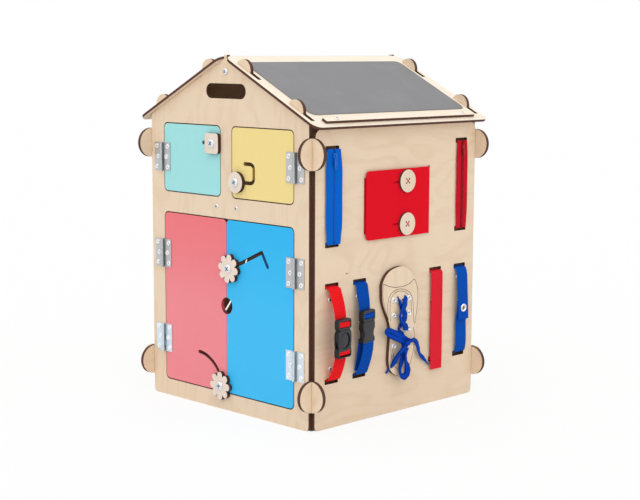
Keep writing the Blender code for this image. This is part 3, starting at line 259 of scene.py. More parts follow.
def outline_plate(name, loops, thickness, bevel, place, material, at=(0, 0), facing="x", segments=2):
    """A plate with rounded rims, cut to loops about the point at; all but at and place in millimetres."""
    data = bpy.data.curves.new(name, "CURVE")
    data.dimensions = "2D"
    data.fill_mode = "BOTH"
    data.extrude = mm(thickness / 2)
    for loop in loops:
        spline = data.splines.new("POLY")
        spline.points.add(len(loop) - 1)
        for point, (a, b) in zip(spline.points, mm(loop)):
            point.co = (at[0] + a, at[1] + b, 0, 1)
        spline.use_cyclic_u = True
    helper = add_object(name + "_helper", data)
    bm = bmesh.new()
    bm.from_mesh(finished_mesh(helper))
    discard(helper)
    bmesh.ops.remove_doubles(bm, verts=bm.verts, dist=1e-6)
    bmesh.ops.dissolve_limit(bm, angle_limit=math.radians(1), verts=bm.verts, edges=bm.edges)
    if bevel:
        rims = [e for e in bm.edges if len(e.link_faces) == 2 and e.calc_face_angle(0) > math.radians(50)
                and abs(e.verts[0].co.z - e.verts[1].co.z) < 1e-7]
        bmesh.ops.bevel(bm, geom=rims, offset=mm(bevel), segments=segments, profile=0.6, affect="EDGES",
                        clamp_overlap=True)
    turn = Matrix.Rotation(math.pi / 2, 4, "X")
    if facing == "x":
        turn = Matrix.Rotation(math.pi / 2, 4, "Z") @ turn
    bmesh.ops.transform(bm, matrix=Matrix.Translation(place) @ turn, verts=bm.verts)
    bmesh.ops.recalc_face_normals(bm, faces=bm.faces)
    return from_bmesh(name, bm, material, sharp=30)


def turned_mesh(name, profile, segments=24):
    """A closed solid of revolution about +Z from (radius, height) points in millimetres."""
    bm = bmesh.new()
    verts = [bm.verts.new((r, 0, z)) for r, z in mm(profile)]
    edges = [bm.edges.new(pair) for pair in zip(verts, verts[1:])]
    bmesh.ops.spin(bm, geom=verts + edges, cent=(0, 0, 0), axis=(0, 0, 1), angle=2 * math.pi, steps=segments)
    bmesh.ops.remove_doubles(bm, verts=bm.verts, dist=1e-6)
    bmesh.ops.recalc_face_normals(bm, faces=bm.faces)
    return mesh_of(name, bm, 38)


def cube(size, lift=0.0):
    """A box of the given size in millimetres, its middle lifted."""
    bm = bmesh.new()
    bmesh.ops.create_cube(bm, size=1.0)
    bmesh.ops.scale(bm, vec=mm(size), verts=bm.verts)
    bmesh.ops.translate(bm, vec=(0, 0, mm(lift)), verts=bm.verts)
    return bm


def join(name, pieces):
    """One object out of several that sit at the origin, their materials kept."""
    bm = bmesh.new()
    materials = []
    for piece in pieces:
        first = len(bm.faces)
        bm.from_mesh(piece.data)
        bm.faces.ensure_lookup_table()
        slots = list(piece.data.materials)
        for face in bm.faces[first:]:
            material = slots[face.material_index]
            if material not in materials:
                materials.append(material)
            face.material_index = materials.index(material)
        discard(piece)
    return from_bmesh(name, bm, *materials)


def place_piece(piece, body, slot, *nodes):
    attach(piece, body)
    if nodes:
        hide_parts(*nodes)
    return piece


# ---- camera ----
def set_camera():
    azimuth, elevation, roll = (math.radians(a) for a in (45.1, 7.999, 0.217))
    back = Vector((math.sin(azimuth) * math.cos(elevation), -math.cos(azimuth) * math.cos(elevation),
                   math.sin(elevation)))
    right = Vector((math.cos(azimuth), math.sin(azimuth), 0))
    up = back.cross(right)
    tilted = right * math.cos(roll) + up * math.sin(roll)
    head = up * math.cos(roll) - right * math.sin(roll)
    data = bpy.data.cameras.new("photo_camera")
    data.lens = 81.004
    data.sensor_width = 36
    data.clip_start = 0.05
    camera = add_object("photo_camera", data)
    turn = Matrix((tilted, head, back)).transposed().to_4x4()
    camera.matrix_world = Matrix.Translation((1.645059, -1.623686, 0.558109)) @ turn
    bpy.context.scene.camera = camera


set_camera()

# ---- node helpers: each adds to the tree in hand ----
tree = None


def work_on(new_tree):
    global tree
    tree = new_tree


def node(kind, links=(), **settings):
    """Adds a node; links pairs its inputs, by name or index, with values or sockets."""
    made = tree.nodes.new(kind)
    for key, value in settings.items():
        setattr(made, key, value)
    for key, value in dict(links).items():
        if isinstance(value, bpy.types.NodeSocket):
            tree.links.new(value, made.inputs[key])
        else:
            made.inputs[key].default_value = value
    return made


def maths(operation, *values):
    return node("ShaderNodeMath", enumerate(values), operation=operation).outputs[0]


def mul(a, b):
    return maths("MULTIPLY", a, b)


def mad(a, b, c):
    """a times b plus c."""
    return maths("MULTIPLY_ADD", a, b, c)


def vectors(operation, a, b):
    made = node("ShaderNodeVectorMath", enumerate((a, b)), operation=operation)
    return made.outputs["Value" if operation in ("DOT_PRODUCT", "DISTANCE") else "Vector"]


def scaled_vector(vector, scale):
    return node("ShaderNodeVectorMath", {0: vector, "Scale": scale}, operation="SCALE").outputs[0]


def split(vector):
    return node("ShaderNodeSeparateXYZ", {0: vector}).outputs


def between(value, low, high, to_low=0.0, to_high=1.0):
    return node("ShaderNodeMapRange", enumerate((value, low, high, to_low, to_high)),
                interpolation_type="SMOOTHSTEP").outputs[0]


def noise(place, scale, detail=2.0, roughness=0.5, distortion=0.0):
    return node("ShaderNodeTexNoise", {"Vector": place, "Scale": scale, "Detail": detail,
                                       "Roughness": roughness, "Distortion": distortion}).outputs[0]


def stretched_noise(place, stretch, *values):
    return noise(vectors("MULTIPLY", place, stretch), *values)


def linear(colour):
    """A screen colour of three values, 0 to 255, in linear values; anything else as it is."""
    if not isinstance(colour, tuple) or len(colour) > 3:
        return colour
    return tuple(((c / 255 + 0.055) / 1.055) ** 2.4 if c > 10 else c / 3294.6 for c in colour) + (1.0,)


def dimmed(colour, share):
    return tuple(c * share for c in linear(colour)[:3]) + (1,)


def tint(share, a, b):
    return node("ShaderNodeMix", {0: share, 6: linear(a), 7: linear(b)}, data_type="RGBA").outputs[2]


def veil(tone, mask, share, colour):
    """The tone, covered by a colour where the mask is full, up to its share."""
    return tint(mul(mask, share), tone, colour)


# ---- shared effects ----
def new_group(name, build, outputs, **inputs):
    """A shader node group that puts out values only; inputs are given with their plain values."""
    group = bpy.data.node_groups.new(name, "ShaderNodeTree")
    work_on(group)
    for label, value in inputs.items():
        kind = "NodeSocketVector" if isinstance(value, tuple) else "NodeSocketFloat"
        group.interface.new_socket(label, in_out="INPUT", socket_type=kind).default_value = value
    for label in outputs:
        group.interface.new_socket(label, in_out="OUTPUT", socket_type="NodeSocketFloat")
    start, end = node("NodeGroupInput"), node("NodeGroupOutput")
    for label, socket in zip(outputs, build(*(start.outputs[label] for label in inputs))):
        group.links.new(socket, end.inputs[label])
    return group


def use(group, **links):
    return node("ShaderNodeGroup", links, node_tree=group).outputs


def birch_figure(place, seed):
    """Place runs along the grain, across it and into the sheet."""
    shifted = vectors("ADD", place, scaled_vector((1.7, 3.1, 5.3), seed))
    rings = maths("SINE", mul(stretched_noise(shifted, (3.4, 11.0, 3.0), 1.0, 2.0, 0.45, 0.5), 62.0))
    shore = stretched_noise(shifted, (8.0, 60.0, 8.0), 1.0, 3.0, 0.6)
    figure = mul(between(rings, 0.1, 1.0), between(shore, 0.25, 0.8, 0.35, 1.0))
    pores = between(stretched_noise(shifted, (45.0, 900.0, 45.0), 1.0, 2.0, 0.6), 0.52, 0.78)
    return figure, pores, stretched_noise(shifted, (5.0, 9.0, 5.0), 1.0, 3.0, 0.55, 0.8)


def cut_edge(normal, place, axis):
    """How far a surface is the sheet's cut edge, its burn and the plies seen there."""
    lean = maths("ABSOLUTE", vectors("DOT_PRODUCT", normal, axis))
    plies = maths("SINE", mul(vectors("DOT_PRODUCT", place, axis), 2 * math.pi / 0.0015))
    return between(lean, 0.9, 0.72), noise(place, 260.0, 3.0, 0.6), between(plies, 0.3, 0.95)


def handling_wear(place):
    """Handling marks: soft smudges and fine rubbed streaks."""
    streak = stretched_noise(place, (1.0, 1.0, 0.12), 700.0, 2.0)
    return between(noise(place, 18.0, 4.0, 0.6, 0.4), 0.45, 0.75), between(streak, 0.5, 0.8)


def woven_band(on_band, warp, weft):
    """Threads of a woven band on its own UV: across in X, along in Y, both in metres. Its second output darkens where
    the threads dip: painted shade in the hollows of the weave.
    """
    across, along, _ = split(on_band)
    a = maths("SINE", mul(across, maths("DIVIDE", 2 * math.pi, warp)))
    b = maths("SINE", mul(along, maths("DIVIDE", 2 * math.pi, weft)))
    height = mad(mul(a, b), 0.25, mad(a, 0.25, 0.5))
    fuzz = noise(on_band, 2600.0, 2.0, 0.7)
    return mad(fuzz, 0.3, height), between(height, 0.35, 0.05), fuzz


ZERO = (0, 0, 0)
BIRCH = new_group("birch_figure", birch_figure, ("Figure", "Pores", "Cloud"), Place=ZERO, Seed=0.0)
CUT_EDGE = new_group("cut_edge", cut_edge, ("Edge", "Burn", "Plies"), Normal=(0, 0, 1), Place=ZERO,
                     Axis=(1, 0, 0))
WEAR = new_group("handling_wear", handling_wear, ("Smudge", "Streak"), Place=ZERO)
WEAVE = new_group("woven_band", woven_band, ("Height", "Weave_shade", "Fuzz"), Band=ZERO, Warp=0.0011, Weft=0.0008)

# ---- materials ----
MATS = {}
PALE = (232, 211, 185)
HONEY = (215, 186, 152)
CHAR = (76, 45, 35)
CHAR_LIGHT = (104, 66, 48)
GRAINS = {"front": (2, 0, 1), "side": (1, 2, 0), "roof": (1, 0, 2), "upright": (2, 1, 0)}


def start_material(name, roughness, metallic=0.0, specular=0.5):
    """Starts a material and gives the object's coordinates and normals."""
    MATS[name] = material = bpy.data.materials.new(name)
    material.use_nodes = True
    work_on(material.node_tree)
    inputs = tree.nodes["Principled BSDF"].inputs
    for key, value in (("Roughness", roughness), ("Metallic", metallic), ("Specular IOR Level", specular)):
        inputs[key].default_value = value
    coord = node("ShaderNodeTexCoord").outputs
    return coord["Object"], coord["Normal"]


def finish(tone, rough, height, distance, strength):
    """Links a material's colour, roughness and bump."""
    bump = node("ShaderNodeBump", {"Height": height, "Distance": distance, "Strength": strength})
    inputs = tree.nodes["Principled BSDF"].inputs
    for key, socket in (("Base Color", tone), ("Roughness", rough), ("Normal", bump.outputs[0])):
        tree.links.new(socket, inputs[key])


def along_grain(place, grain, slope=0.0):
    """Object coordinates reordered to along the grain, across it and into the sheet."""
    if slope:
        place = node("ShaderNodeMapping", {"Vector": place, "Rotation": (0, slope, 0)}).outputs[0]
    parts = split(place)
    return node("ShaderNodeCombineXYZ", enumerate(parts[k] for k in GRAINS[grain])).outputs[0]


def lit_facing_cuts(normal):
    """1 on cut edges that face +X, which are drawn paler than the other cuts: painted light on their lit side."""
    return between(split(normal)[0], 0.75, 0.95)


def birch(name, grain, axis, seed, slope=0.0, pale=PALE, honey=HONEY, knot=None,
          burns=(CHAR, CHAR_LIGHT), lit_edges_below=0.0):
    """Plywood with burnt edges; below a given height, the cut edges that face +X in the openings lose most of their
    burn: painted light on their lit side.
    """
    place, normal = start_material(name, 0.55, specular=0.35)
    figure = use(BIRCH, Place=along_grain(place, grain, slope), Seed=seed)
    edge = use(CUT_EDGE, Normal=normal, Place=place, Axis=axis)
    wear = use(WEAR, Place=place)
    tone = tint(mad(figure["Figure"], 0.32, mul(figure["Cloud"], 0.30)), pale, honey)
    tone = veil(tone, figure["Pores"], 0.16, (196, 160, 122))
    tone = veil(tone, wear["Smudge"], 0.05, (205, 180, 150))
    if knot:
        squash = 2.2
        apart = vectors("DISTANCE", vectors("MULTIPLY", place, (0, 1, squash)), (0, knot[0], knot[1] * squash))
        spot = between(maths("ADD", apart, mul(figure["Pores"], 0.0012)), 0.0042, 0.0012)
        tone = veil(tone, spot, 0.75, (120, 78, 48))
    burnt = veil(tint(mul(edge["Burn"], 0.55), *burns), edge["Plies"], 0.30, (58, 34, 27))
    cut = edge["Edge"]
    # painted light: below the given height, the +X-facing cuts in the openings are drawn pale
    if lit_edges_below:
        x, _, z = split(place)
        inside = mul(between(z, lit_edges_below, lit_edges_below - 0.001),
                     between(x, WALL_FACE - 0.008, WALL_FACE - 0.009))
        cut = mul(cut, mad(mul(inside, lit_facing_cuts(normal)), -0.8, 1.0))
    rough = mad(figure["Pores"], 0.12, mad(edge["Edge"], 0.25, 0.5))
    height = mad(edge["Burn"], edge["Edge"], mul(figure["Pores"], -0.5))
    finish(tint(cut, tone, burnt), mad(wear["Smudge"], -0.08, rough), height, 0.0001, 0.5)


def paint(name, colour, deep, seed, rim, painted_light_below=1.0):
    """A thin coat over plywood, drawn paler below a given height and deeper above it: painted light. rim is its tone on
    the cuts that face +X, and the other cuts take the dark burn tone: painted light on the lit side, painted shade on
    the rest.
    """
    place, normal = start_material(name, 0.5, specular=0.4)
    figure = use(BIRCH, Place=along_grain(place, "front"), Seed=seed)
    edge = use(CUT_EDGE, Normal=normal, Place=place, Axis=(0, 1, 0))
    wear = use(WEAR, Place=place)
    tone = tint(mad(figure["Cloud"], 0.18, mul(figure["Figure"], 0.05)), colour, deep)
    tone = veil(tone, figure["Pores"], 0.06, deep)
    # painted light: the coat is paler towards the bottom and deeper higher up
    tone = tint(between(split(place)[2], painted_light_below, painted_light_below + 0.16, 0.0, 0.85), tone, deep)
    # painted light and shade on the cuts: rim tone where they face +X, dark burn elsewhere
    tone = veil(tone, edge["Edge"], 0.85, tint(lit_facing_cuts(normal), CHAR, rim))
    finish(tone, mad(wear["Smudge"], -0.1, 0.55), mad(figure["Pores"], -0.6, wear["Streak"]), 0.00006, 0.45)


def slate(name):
    place, _ = start_material(name, 0.6, specular=0.35)
    wear = use(WEAR, Place=place)
    grit = noise(place, 2200.0, 2.0, 0.6)
    chalk = between(stretched_noise(place, (2.0, 0.7, 2.0), 9.0, 4.0, 0.65, 1.2), 0.4, 0.8)
    tone = tint(mul(chalk, 0.35), (122, 122, 124), (134, 134, 135))
    tone = veil(veil(tone, grit, 0.2, (104, 104, 106)), wear["Smudge"], 0.2, (140, 140, 140))
    finish(tone, mad(chalk, 0.15, 0.55), grit, 0.00005, 0.5)


def metal(name, colour, dark, roughness, spangle=600.0, metallic=1.0, shading=None):
    """Plated metal; shading(tone, place) changes its tone by place."""
    place, _ = start_material(name, roughness, metallic)
    wear = use(WEAR, Place=place)
    patch = noise(place, spangle, 3.0, 0.6)
    tone = veil(tint(mul(patch, 0.5), colour, dark), wear["Streak"], 0.3, dark)
    if shading:
        tone = shading(tone, place)
    finish(tone, mad(wear["Smudge"], 0.1, mad(patch, 0.2, roughness - 0.1)), patch, 0.00004, 0.4)


def painted_barrel_shade(tone, place):
    """Painted reflection and light: the barrel on the pin's line is drawn duller, with a dark band on its +X side, and
    hinges low on the house are drawn paler and bluer.
    """
    x, _, z = split(place)
    across = mad(maths("SIGN", x), -HINGE_X, x)
    whole = between(maths("ABSOLUTE", across), 0.0033, 0.0029)
    shaded = mul(between(across, 0.0023, 0.0028), between(across, 0.0034, 0.0031))
    # painted light: hinges low on the house are drawn paler and bluer
    tone = tint(between(z, 0.15, 0.11, 0.0, 0.85), tone, (226, 238, 248))
    # painted reflection: the barrel is drawn duller, darkest in a band on its +X side
    return tint(mad(shaded, 0.60, mul(whole, 0.12)), tone, (70, 96, 100))


def cloth(name, colour, deep, warp=0.0011, weft=0.0008, height=0.00018, roughness=0.85, rib=0.0, seam=0.0,
          shaded_rims_from=0.0):
    """Woven band; rib is the pitch of its cross ribs, whose hollows are drawn darker as painted shade, seam half the
    width of a zigzag chain along its middle, and the last how far from the middle its darker rims start: painted shade
    along its edges.
    """
    place, _ = start_material(name, roughness, specular=0.08)
    uv = node("ShaderNodeUVMap", uv_map="UVMap").outputs[0]
    weave = use(WEAVE, Band=uv, Warp=warp, Weft=weft)
    tone = colour
    # painted shade in the weave's hollows, then random fuzz and smudges
    for mask, share in ((weave["Weave_shade"], 0.45), (weave["Fuzz"], 0.2), (use(WEAR, Place=place)["Smudge"], 0.1)):
        tone = veil(tone, mask, share, deep)
    across, along, _ = split(uv)
    across = maths("ABSOLUTE", across)
    if rib:
        # painted shade in the hollows between the cross ribs
        wave = maths("COSINE", mul(along, 2 * math.pi / rib))
        tone = tint(between(wave, 0.1, -1.0, 0.0, 0.8), tone, deep)
    if seam:
        reach = mad(maths("PINGPONG", along, 0.0013), 0.9, seam - 0.0007)
        chain = between(maths("SUBTRACT", across, reach), 0.0003, -0.0003)
        tone = veil(tone, chain, 0.85, dimmed(deep, 0.6))
    if shaded_rims_from:
        # painted shade along the band's edges
        tone = veil(tone, between(across, shaded_rims_from, shaded_rims_from + 0.0008), 0.8, deep)
    finish(tone, mad(weave["Fuzz"], 0.15, roughness - 0.1), weave["Height"], height, 0.7)


def felt(name, colour, deep):
    """Pressed wool: no weave, only short matted fibres."""
    place, _ = start_material(name, 0.95, specular=0.05)
    fibres = noise(place, 1500.0, 4.0, 0.7, 1.5)
    clumps = noise(place, 120.0, 3.0, 0.6)
    tone = veil(veil(colour, fibres, 0.35, deep), clumps, 0.2, deep)
    finish(tone, mad(fibres, 0.1, 0.88), maths("ADD", fibres, clumps), 0.0002, 0.5)


def plastic(name, colour, roughness, side_shade=1.0):
    """Moulded plastic or enamel; the last argument is how much of its tone the faces off +X keep: painted shade on the
    sides turned away from the light.
    """
    place, normal = start_material(name, roughness, specular=0.3)
    grit = noise(place, 1800.0, 2.0, 0.5)
    tone = veil(colour, use(WEAR, Place=place)["Smudge"], 0.3, dimmed(colour, 1.5))
    # painted shade: faces that do not face +X are drawn darker
    if side_shade < 1.0:
        tone = tint(between(split(normal)[0], 0.93, 0.7), tone, dimmed(colour, side_shade))
    finish(tone, mad(grit, 0.15, roughness - 0.05), grit, 0.00003, 0.4)


RIB_PITCH = 0.0026
birch("front_birch", "front", (0, 1, 0), 1.0, lit_edges_below=0.46)
birch("back_birch", "front", (0, 1, 0), 4.0)
birch("right_birch", "side", (1, 0, 0), 2.0, knot=(-0.114, 0.228))
birch("left_birch", "side", (1, 0, 0), 6.0)
# the right roof and the chalk ledge on it are drawn in paler tones than the other plywood: painted light where the
# light falls on them
birch("lit_right_roof_birch", "roof", (SIN, 0, COS), 3.0, -ROOF_PITCH, (241, 229, 211), (228, 208, 182))
birch("left_roof_birch", "roof", (-SIN, 0, COS), 5.0, ROOF_PITCH)
birch("knob_birch", "front", (0, 1, 0), 7.0, 0.0, (234, 219, 206), (216, 198, 178), burns=((58, 30, 20), (84, 48, 34)))
birch("button_birch", "upright", (1, 0, 0), 8.0, 0.0, (230, 212, 190), (216, 192, 164))
birch("shoe_birch", "upright", (1, 0, 0), 9.0)
birch("beam_birch", "side", (0, 1, 0), 10.0)
paint("teal_paint", (160, 222, 222), (140, 208, 208), 1.0, (120, 208, 204))
paint("yellow_paint", (238, 216, 143), (228, 200, 124), 2.0, (206, 160, 62))
paint("coral_paint", (236, 136, 144), (232, 112, 118), 3.0, (226, 62, 80), 0.14)
paint("blue_paint", (54, 186, 240), (26, 178, 236), 4.0, (6, 120, 226), 0.14)
slate("chalkboard_slate")
metal("zinc_plated_steel", (206, 208, 210), (164, 168, 172), 0.32)
metal("hinge_plate", (206, 207, 208), (176, 178, 181), 0.42, shading=painted_barrel_shade)
# rivet heads drawn near white and less metallic than the hinge leaves: painted highlight
metal("rivet_highlight_plate", (250, 250, 250), (232, 233, 235), 0.35, 300.0, 0.3)
metal("nickel_plate", (238, 239, 240), (204, 206, 208), 0.25, 300.0, 0.6)
metal("worn_brass", (150, 112, 84), (96, 70, 54), 0.4, 300.0)
plastic("recess_shadow", (42, 40, 40), 0.6)
# blue-grey disc set in each bolt's cross recess: painted shade
plastic("bolt_recess_shade", (112, 132, 154), 0.5)
cloth("red_webbing", (252, 32, 38), (196, 10, 16), rib=RIB_PITCH)
cloth("blue_webbing", (0, 84, 188), (0, 46, 128), rib=RIB_PITCH)
cloth("fine_blue_webbing", (0, 86, 192), (0, 52, 138), rib=0.0019)
cloth("blue_zip_tape", (2, 100, 202), (0, 66, 156), 0.0007, 0.0006, 0.0001, seam=0.0016)
cloth("red_zip_tape", (200, 18, 40), (140, 6, 22), 0.0007, 0.0006, 0.0001, seam=0.0030)
cloth("red_loop_tape", (226, 38, 54), (186, 18, 34), 0.0006, 0.0006, 0.00012, 0.92)
cloth("blue_lace", (8, 78, 198), (0, 36, 122), 0.0009, 0.0011, 0.00025, rib=0.0022, shaded_rims_from=0.0024)
felt("red_felt", (228, 22, 40), (200, 10, 28))
cloth("red_thread", (206, 30, 44), (140, 12, 24), 0.0004, 0.0003, 0.0001)
plastic("blue_enamel", (6, 96, 198), 0.35)
plastic("red_enamel", (150, 10, 28), 0.35)
plastic("black_plastic", (44, 44, 49), 0.42, 0.35)
plastic("clear_tip", (58, 74, 100), 0.25)


# ---- floor, backdrop and light ----
def white_for_sight(plain, white, share, output):
    """Puts out a shader with white mixed over it for rays that look, reflect or pass through."""
    path = node("ShaderNodeLightPath").outputs
    seen = maths("MAXIMUM", path["Is Camera Ray"], path["Is Glossy Ray"])
    seen = maths("MAXIMUM", seen, path["Is Transmission Ray"])
    mixed = node("ShaderNodeMixShader", enumerate((mul(seen, share), plain.outputs[0], white.outputs[0])))
    node(output, {0: mixed.outputs[0]})


def floor_sheet(name, corners, faces, material):
    mesh = bpy.data.meshes.new(name)
    mesh.from_pydata(corners, [], faces)
    add_object(name, mesh, material)


def away(azimuth, rise):
    """The way from the house to a lamp, by its angles in degrees."""
    turn, lift = math.radians(azimuth), math.radians(rise)
    return Vector((math.sin(turn) * math.cos(lift), -math.cos(turn) * math.cos(lift), math.sin(lift)))


def set_stage():
    scene = bpy.context.scene
    scene.view_settings.view_transform = "Standard"
    whole = (1, 1, 1, 1)
    scene.world = bpy.data.worlds.new("studio_world")
    scene.world.use_nodes = True
    work_on(scene.world.node_tree)
    tree.nodes.clear()
    white_for_sight(node("ShaderNodeBackground", {0: whole, 1: 0.55}),
                    node("ShaderNodeBackground", {0: whole, 1: 1.0}), 1.0, "ShaderNodeOutputWorld")

    material = bpy.data.materials.new("studio_floor")
    material.use_nodes = True
    work_on(material.node_tree)
    tree.nodes.clear()
    grey = 0.86
    white_for_sight(node("ShaderNodeBsdfDiffuse", {0: (grey, grey, grey, 1)}),
                    node("ShaderNodeEmission", {0: whole, 1: 1.0}), 0.86, "ShaderNodeOutputMaterial")
    outer = 9.0
    corners = [(-1, -1), (1, -1), (1, 1), (-1, 1)]
    rings = [(a * reach, b * reach, 0) for reach in (ROOM_HALF, outer) for a, b in corners]
    floor_sheet("studio_floor", rings, [(k, 4 + k, 4 + (k + 1) % 4, (k + 1) % 4)[::-1] for k in range(4)],
                material)
    # inside the house the floor is plain and drawn a dim warm brown, not white: painted shade of the closed room, so
    # that no white shows through the slots
    start_material("floor_inside", 0.9)
    tree.nodes["Principled BSDF"].inputs["Base Color"].default_value = (0.50, 0.44, 0.38, 1)
    floor_sheet("floor_inside", rings[:4], [(0, 1, 2, 3)], MATS["floor_inside"])

    for name, way, power, spread in (("key_light", away(20, 46), 1.17, 1.3), ("fill_light", away(95, 32), 0.70, 1.5),
                                     ("back_light", away(250, 60), 0.72, 1.4)):
        data = bpy.data.lights.new(name, "SUN")
        data.energy, data.angle = power, spread
        lamp = add_object(name, data)
        lamp.location = way * 3
        lamp.rotation_mode = "QUATERNION"
        lamp.rotation_quaternion = way.to_track_quat("Z", "Y")
    # a little light that has found its way into the room, for the slots' brown depth
    data = bpy.data.lights.new("room_glow", "POINT")
    data.energy, data.color, data.shadow_soft_size = 0.045, (1.0, 0.74, 0.56), 0.06
    lamp = add_object("room_glow", data)
    lamp.location = (0, 0, 0.26)
    lamp.visible_camera = False


set_stage()

# ---- the lace; its routes are in millimetres ----
LACING_ROUTE = (
    (197.7, 1.0, 116), (195.2, -1.0, 122), (194, -5.8, 130), (194, -1.2, 137.5), (194, 5.6, 145), (194, 6.6, 153),
    (194, 2.2, 161), (194, -2.2, 167), (194, -4.6, 172.5), (193.8, -5.6, 176.8), (189.8, -5.0, 179.6),
    (188.6, 0, 179.2), (189.6, 5.2, 179.6), (193.2, 6.4, 177.6), (196.2, 4.8, 173.5), (197.4, 2.4, 168.5),
    (197.6, -1.2, 163.5), (197.6, -6.6, 156), (197.6, -6.8, 149), (197.6, -1.0, 140), (197.6, 5.2, 133.5),
    (197.4, 4.8, 128),
)
BOW_ROUTE = (
    (200.8, 5.6, 113), (200.8, -2.0, 118), (200.2, -13.9, 124.3), (199, -27, 130.9), (198, -35.2, 134.2),
    (197.4, -39, 133), (197.4, -38.2, 130.2), (198.2, -32.5, 125.8), (199.8, -17, 118.8), (200.8, -5.0, 112.8),
    (200.6, -1.2, 106), (199.4, -1.0, 97.4), (197.8, -3.4, 81.8), (196.9, -5.5, 69), (196.6, -3.6, 59.8),
    (196.6, 2.6, 55.6), (196.8, 8.6, 57.8), (197.4, 10.8, 64), (198.4, 8.4, 71.2), (200, 3.8, 79),
    (201.6, 1.2, 88), (202.4, 1.6, 96), (202.6, 3.4, 102.5),
)
ENDS_ROUTE = (
    (187.7, -27.4, 64.3), (190.5, -22.6, 71.5), (195, -19.8, 78.3), (199.5, -13, 92.5), (203.5, -4.0, 102),
    (204.2, 3.0, 108.5), (204, 10, 111.8), (202.5, 16.4, 112.2), (199, 24, 110.5), (196.5, 32, 105.5),
    (194, 38.8, 96), (192, 45, 85), (190.8, 55.2, 76.2), (189.4, 64, 69), (188, 71.6, 62.7),
)
LACE_W = 0.0080
LACE_T = 0.0015
LACE_STEP = 0.0012


def lace_ribbon(name, route, width, node_name, tips=False):
    """A flat woven lace, width(t) wide at share t of its length; gives the piece, its path and its length.

    It lies flat to the wall and lifts its outer edge a little where it turns tightly.
    """
    centres = smooth_path(mm(route), LACE_STEP)
    last = len(centres) - 1
    ups = []
    for i in range(last + 1):
        a, b, c = (centres[max(0, min(last, i + k))] for k in (-4, 0, 4))
        ahead = (c - a).normalized()
        turn = (c - b) - (b - a)
        turn -= ahead * turn.dot(ahead)
        side = turn.normalized() if turn.length > 1e-7 else Vector((0, 0, 0))
        up = OUT + side * (min(1.0, turn.length / 0.0011) * 0.45)
        ups.append((up - ahead * up.dot(ahead)).normalized())
    for _ in range(5):
        ups = [(ups[max(i - 1, 0)] + ups[i] * 2 + ups[min(i + 1, last)]).normalized() for i in range(last + 1)]
    sides = [up.cross(ahead).normalized() for up, ahead in zip(ups, headings(centres))]

    def section(i, run):
        full = 0.26 + 0.74 * grow(0.006, 0.024)(min(i, last - i) * LACE_STEP) if tips else 1.0
        half = width(i / last) / 2 * full * (1 + 0.05 * math.sin(run * 900))
        thick = LACE_T / 2 * (1 + (1 - full) * 0.9)
        return [(a * half, b * thick) for a, b in LACE_SHARES]

    piece = sweep(name, centres, sides, ups, section, MATS["blue_lace"])
    place_piece(piece, "house", "blue_webbing", node_name)
    return piece, centres, path_length(centres)


def build_laces():
    lace_ribbon("lacing_ribbon", LACING_ROUTE, lambda t: 0.0088 + 0.0004 * grow(0.38, 0.46)(t), "lace_lacing")
    bow, path, length = lace_ribbon("bow_ribbon", BOW_ROUTE, lambda t: 0.0086 + 0.0016 * grow(0.42, 0.60)(t),
                                    "lace_bow")
    ends, path, length = lace_ribbon("end_ribbon", ENDS_ROUTE, lambda t: 0.0118 - 0.0048 * grow(0.28, 0.58)(t),
                                     "lace_ends", tips=True)
    radii = mm((0.7, 1.25, 1.4, 1.42, 1.42, 1.42, 1.42, 1.5, 1.4))
    for k, (near, far) in enumerate(((path[0], path[6]), (path[-1], path[-7]))):
        ahead = (far - near).normalized()
        side = ahead.cross(OUT).normalized()
        centres = [near + ahead * (0.0085 * i / 8 - 0.0004) for i in range(9)]
        tip = sweep(f"lace_tip_{k}", centres, [side] * 9, [side.cross(ahead)] * 9,
                    lambda i, run: round_loop(0, 0, radii[i], 12), MATS["clear_tip"])
        place_piece(tip, "house", "black_plastic")
    # the knot that the bow and the ends come out of: a short band wrapped round them
    centre = Vector((0.2040, 0.0030, 0.1095))
    route = []
    for i in range(26):
        angle = math.radians(-200 + 400 * i / 25)
        rise = 0.0016 + 0.0016 * (i / 25 - 0.5) + 0.0012 * math.sin(angle)
        route.append(centre + Vector((0.0034 * math.cos(angle), 0.00442 * math.sin(angle), rise)))
    centres = smooth_path(route, 0.0009)
    ways = headings(centres)
    ups = []
    for p, ahead in zip(centres, ways):
        out = (p - Vector((centre.x, centre.y, p.z))).normalized()
        ups.append((out - ahead * out.dot(ahead)).normalized())
    sides = [up.cross(ahead).normalized() for up, ahead in zip(ups, ways)]
    wrap = [(a * LACE_W * 0.5, b * LACE_T * 0.6) for a, b in LACE_SHARES]
    knot = sweep("bow_knot", centres, sides, ups, lambda i, run: wrap, MATS["blue_lace"])
    place_piece(knot, "house", "blue_webbing")


build_laces()


# ---- webbing and tapes ----
def lane(z, above):
    return z - (1 if above else -1) * (SLOT_H / 2 - WEB_T * 1.6)


def entry(z, above):
    """A strap's way out through its slot, from behind the wall."""
    side = 1 if above else -1
    level = lane(z, above)
    behind = ROOM_HALF - FIT - WEB_T
    return [(behind, level - side * WEB_INSIDE), (behind, level - side * WEB_BEND / 2),
            (behind + WEB_BEND / 3, level), (WALL_FACE - WEB_BEND / 3, level)]


def arch(z_from, z_to, reach, end_share):
    """A strap's stretch away from the wall: quick at its slot, then slowly on."""
    points = []
    start_share, steps = 0.20, 7
    for i in range(steps + 1):
        t = i / steps
        share = start_share + (end_share - start_share) * (1 - (1 - t) ** 1.6)
        points.append((WALL_FACE + WEB_T + reach * share, z_from + (z_to - z_from) * t))
    return points


STRAP_LEAN = math.radians(4)


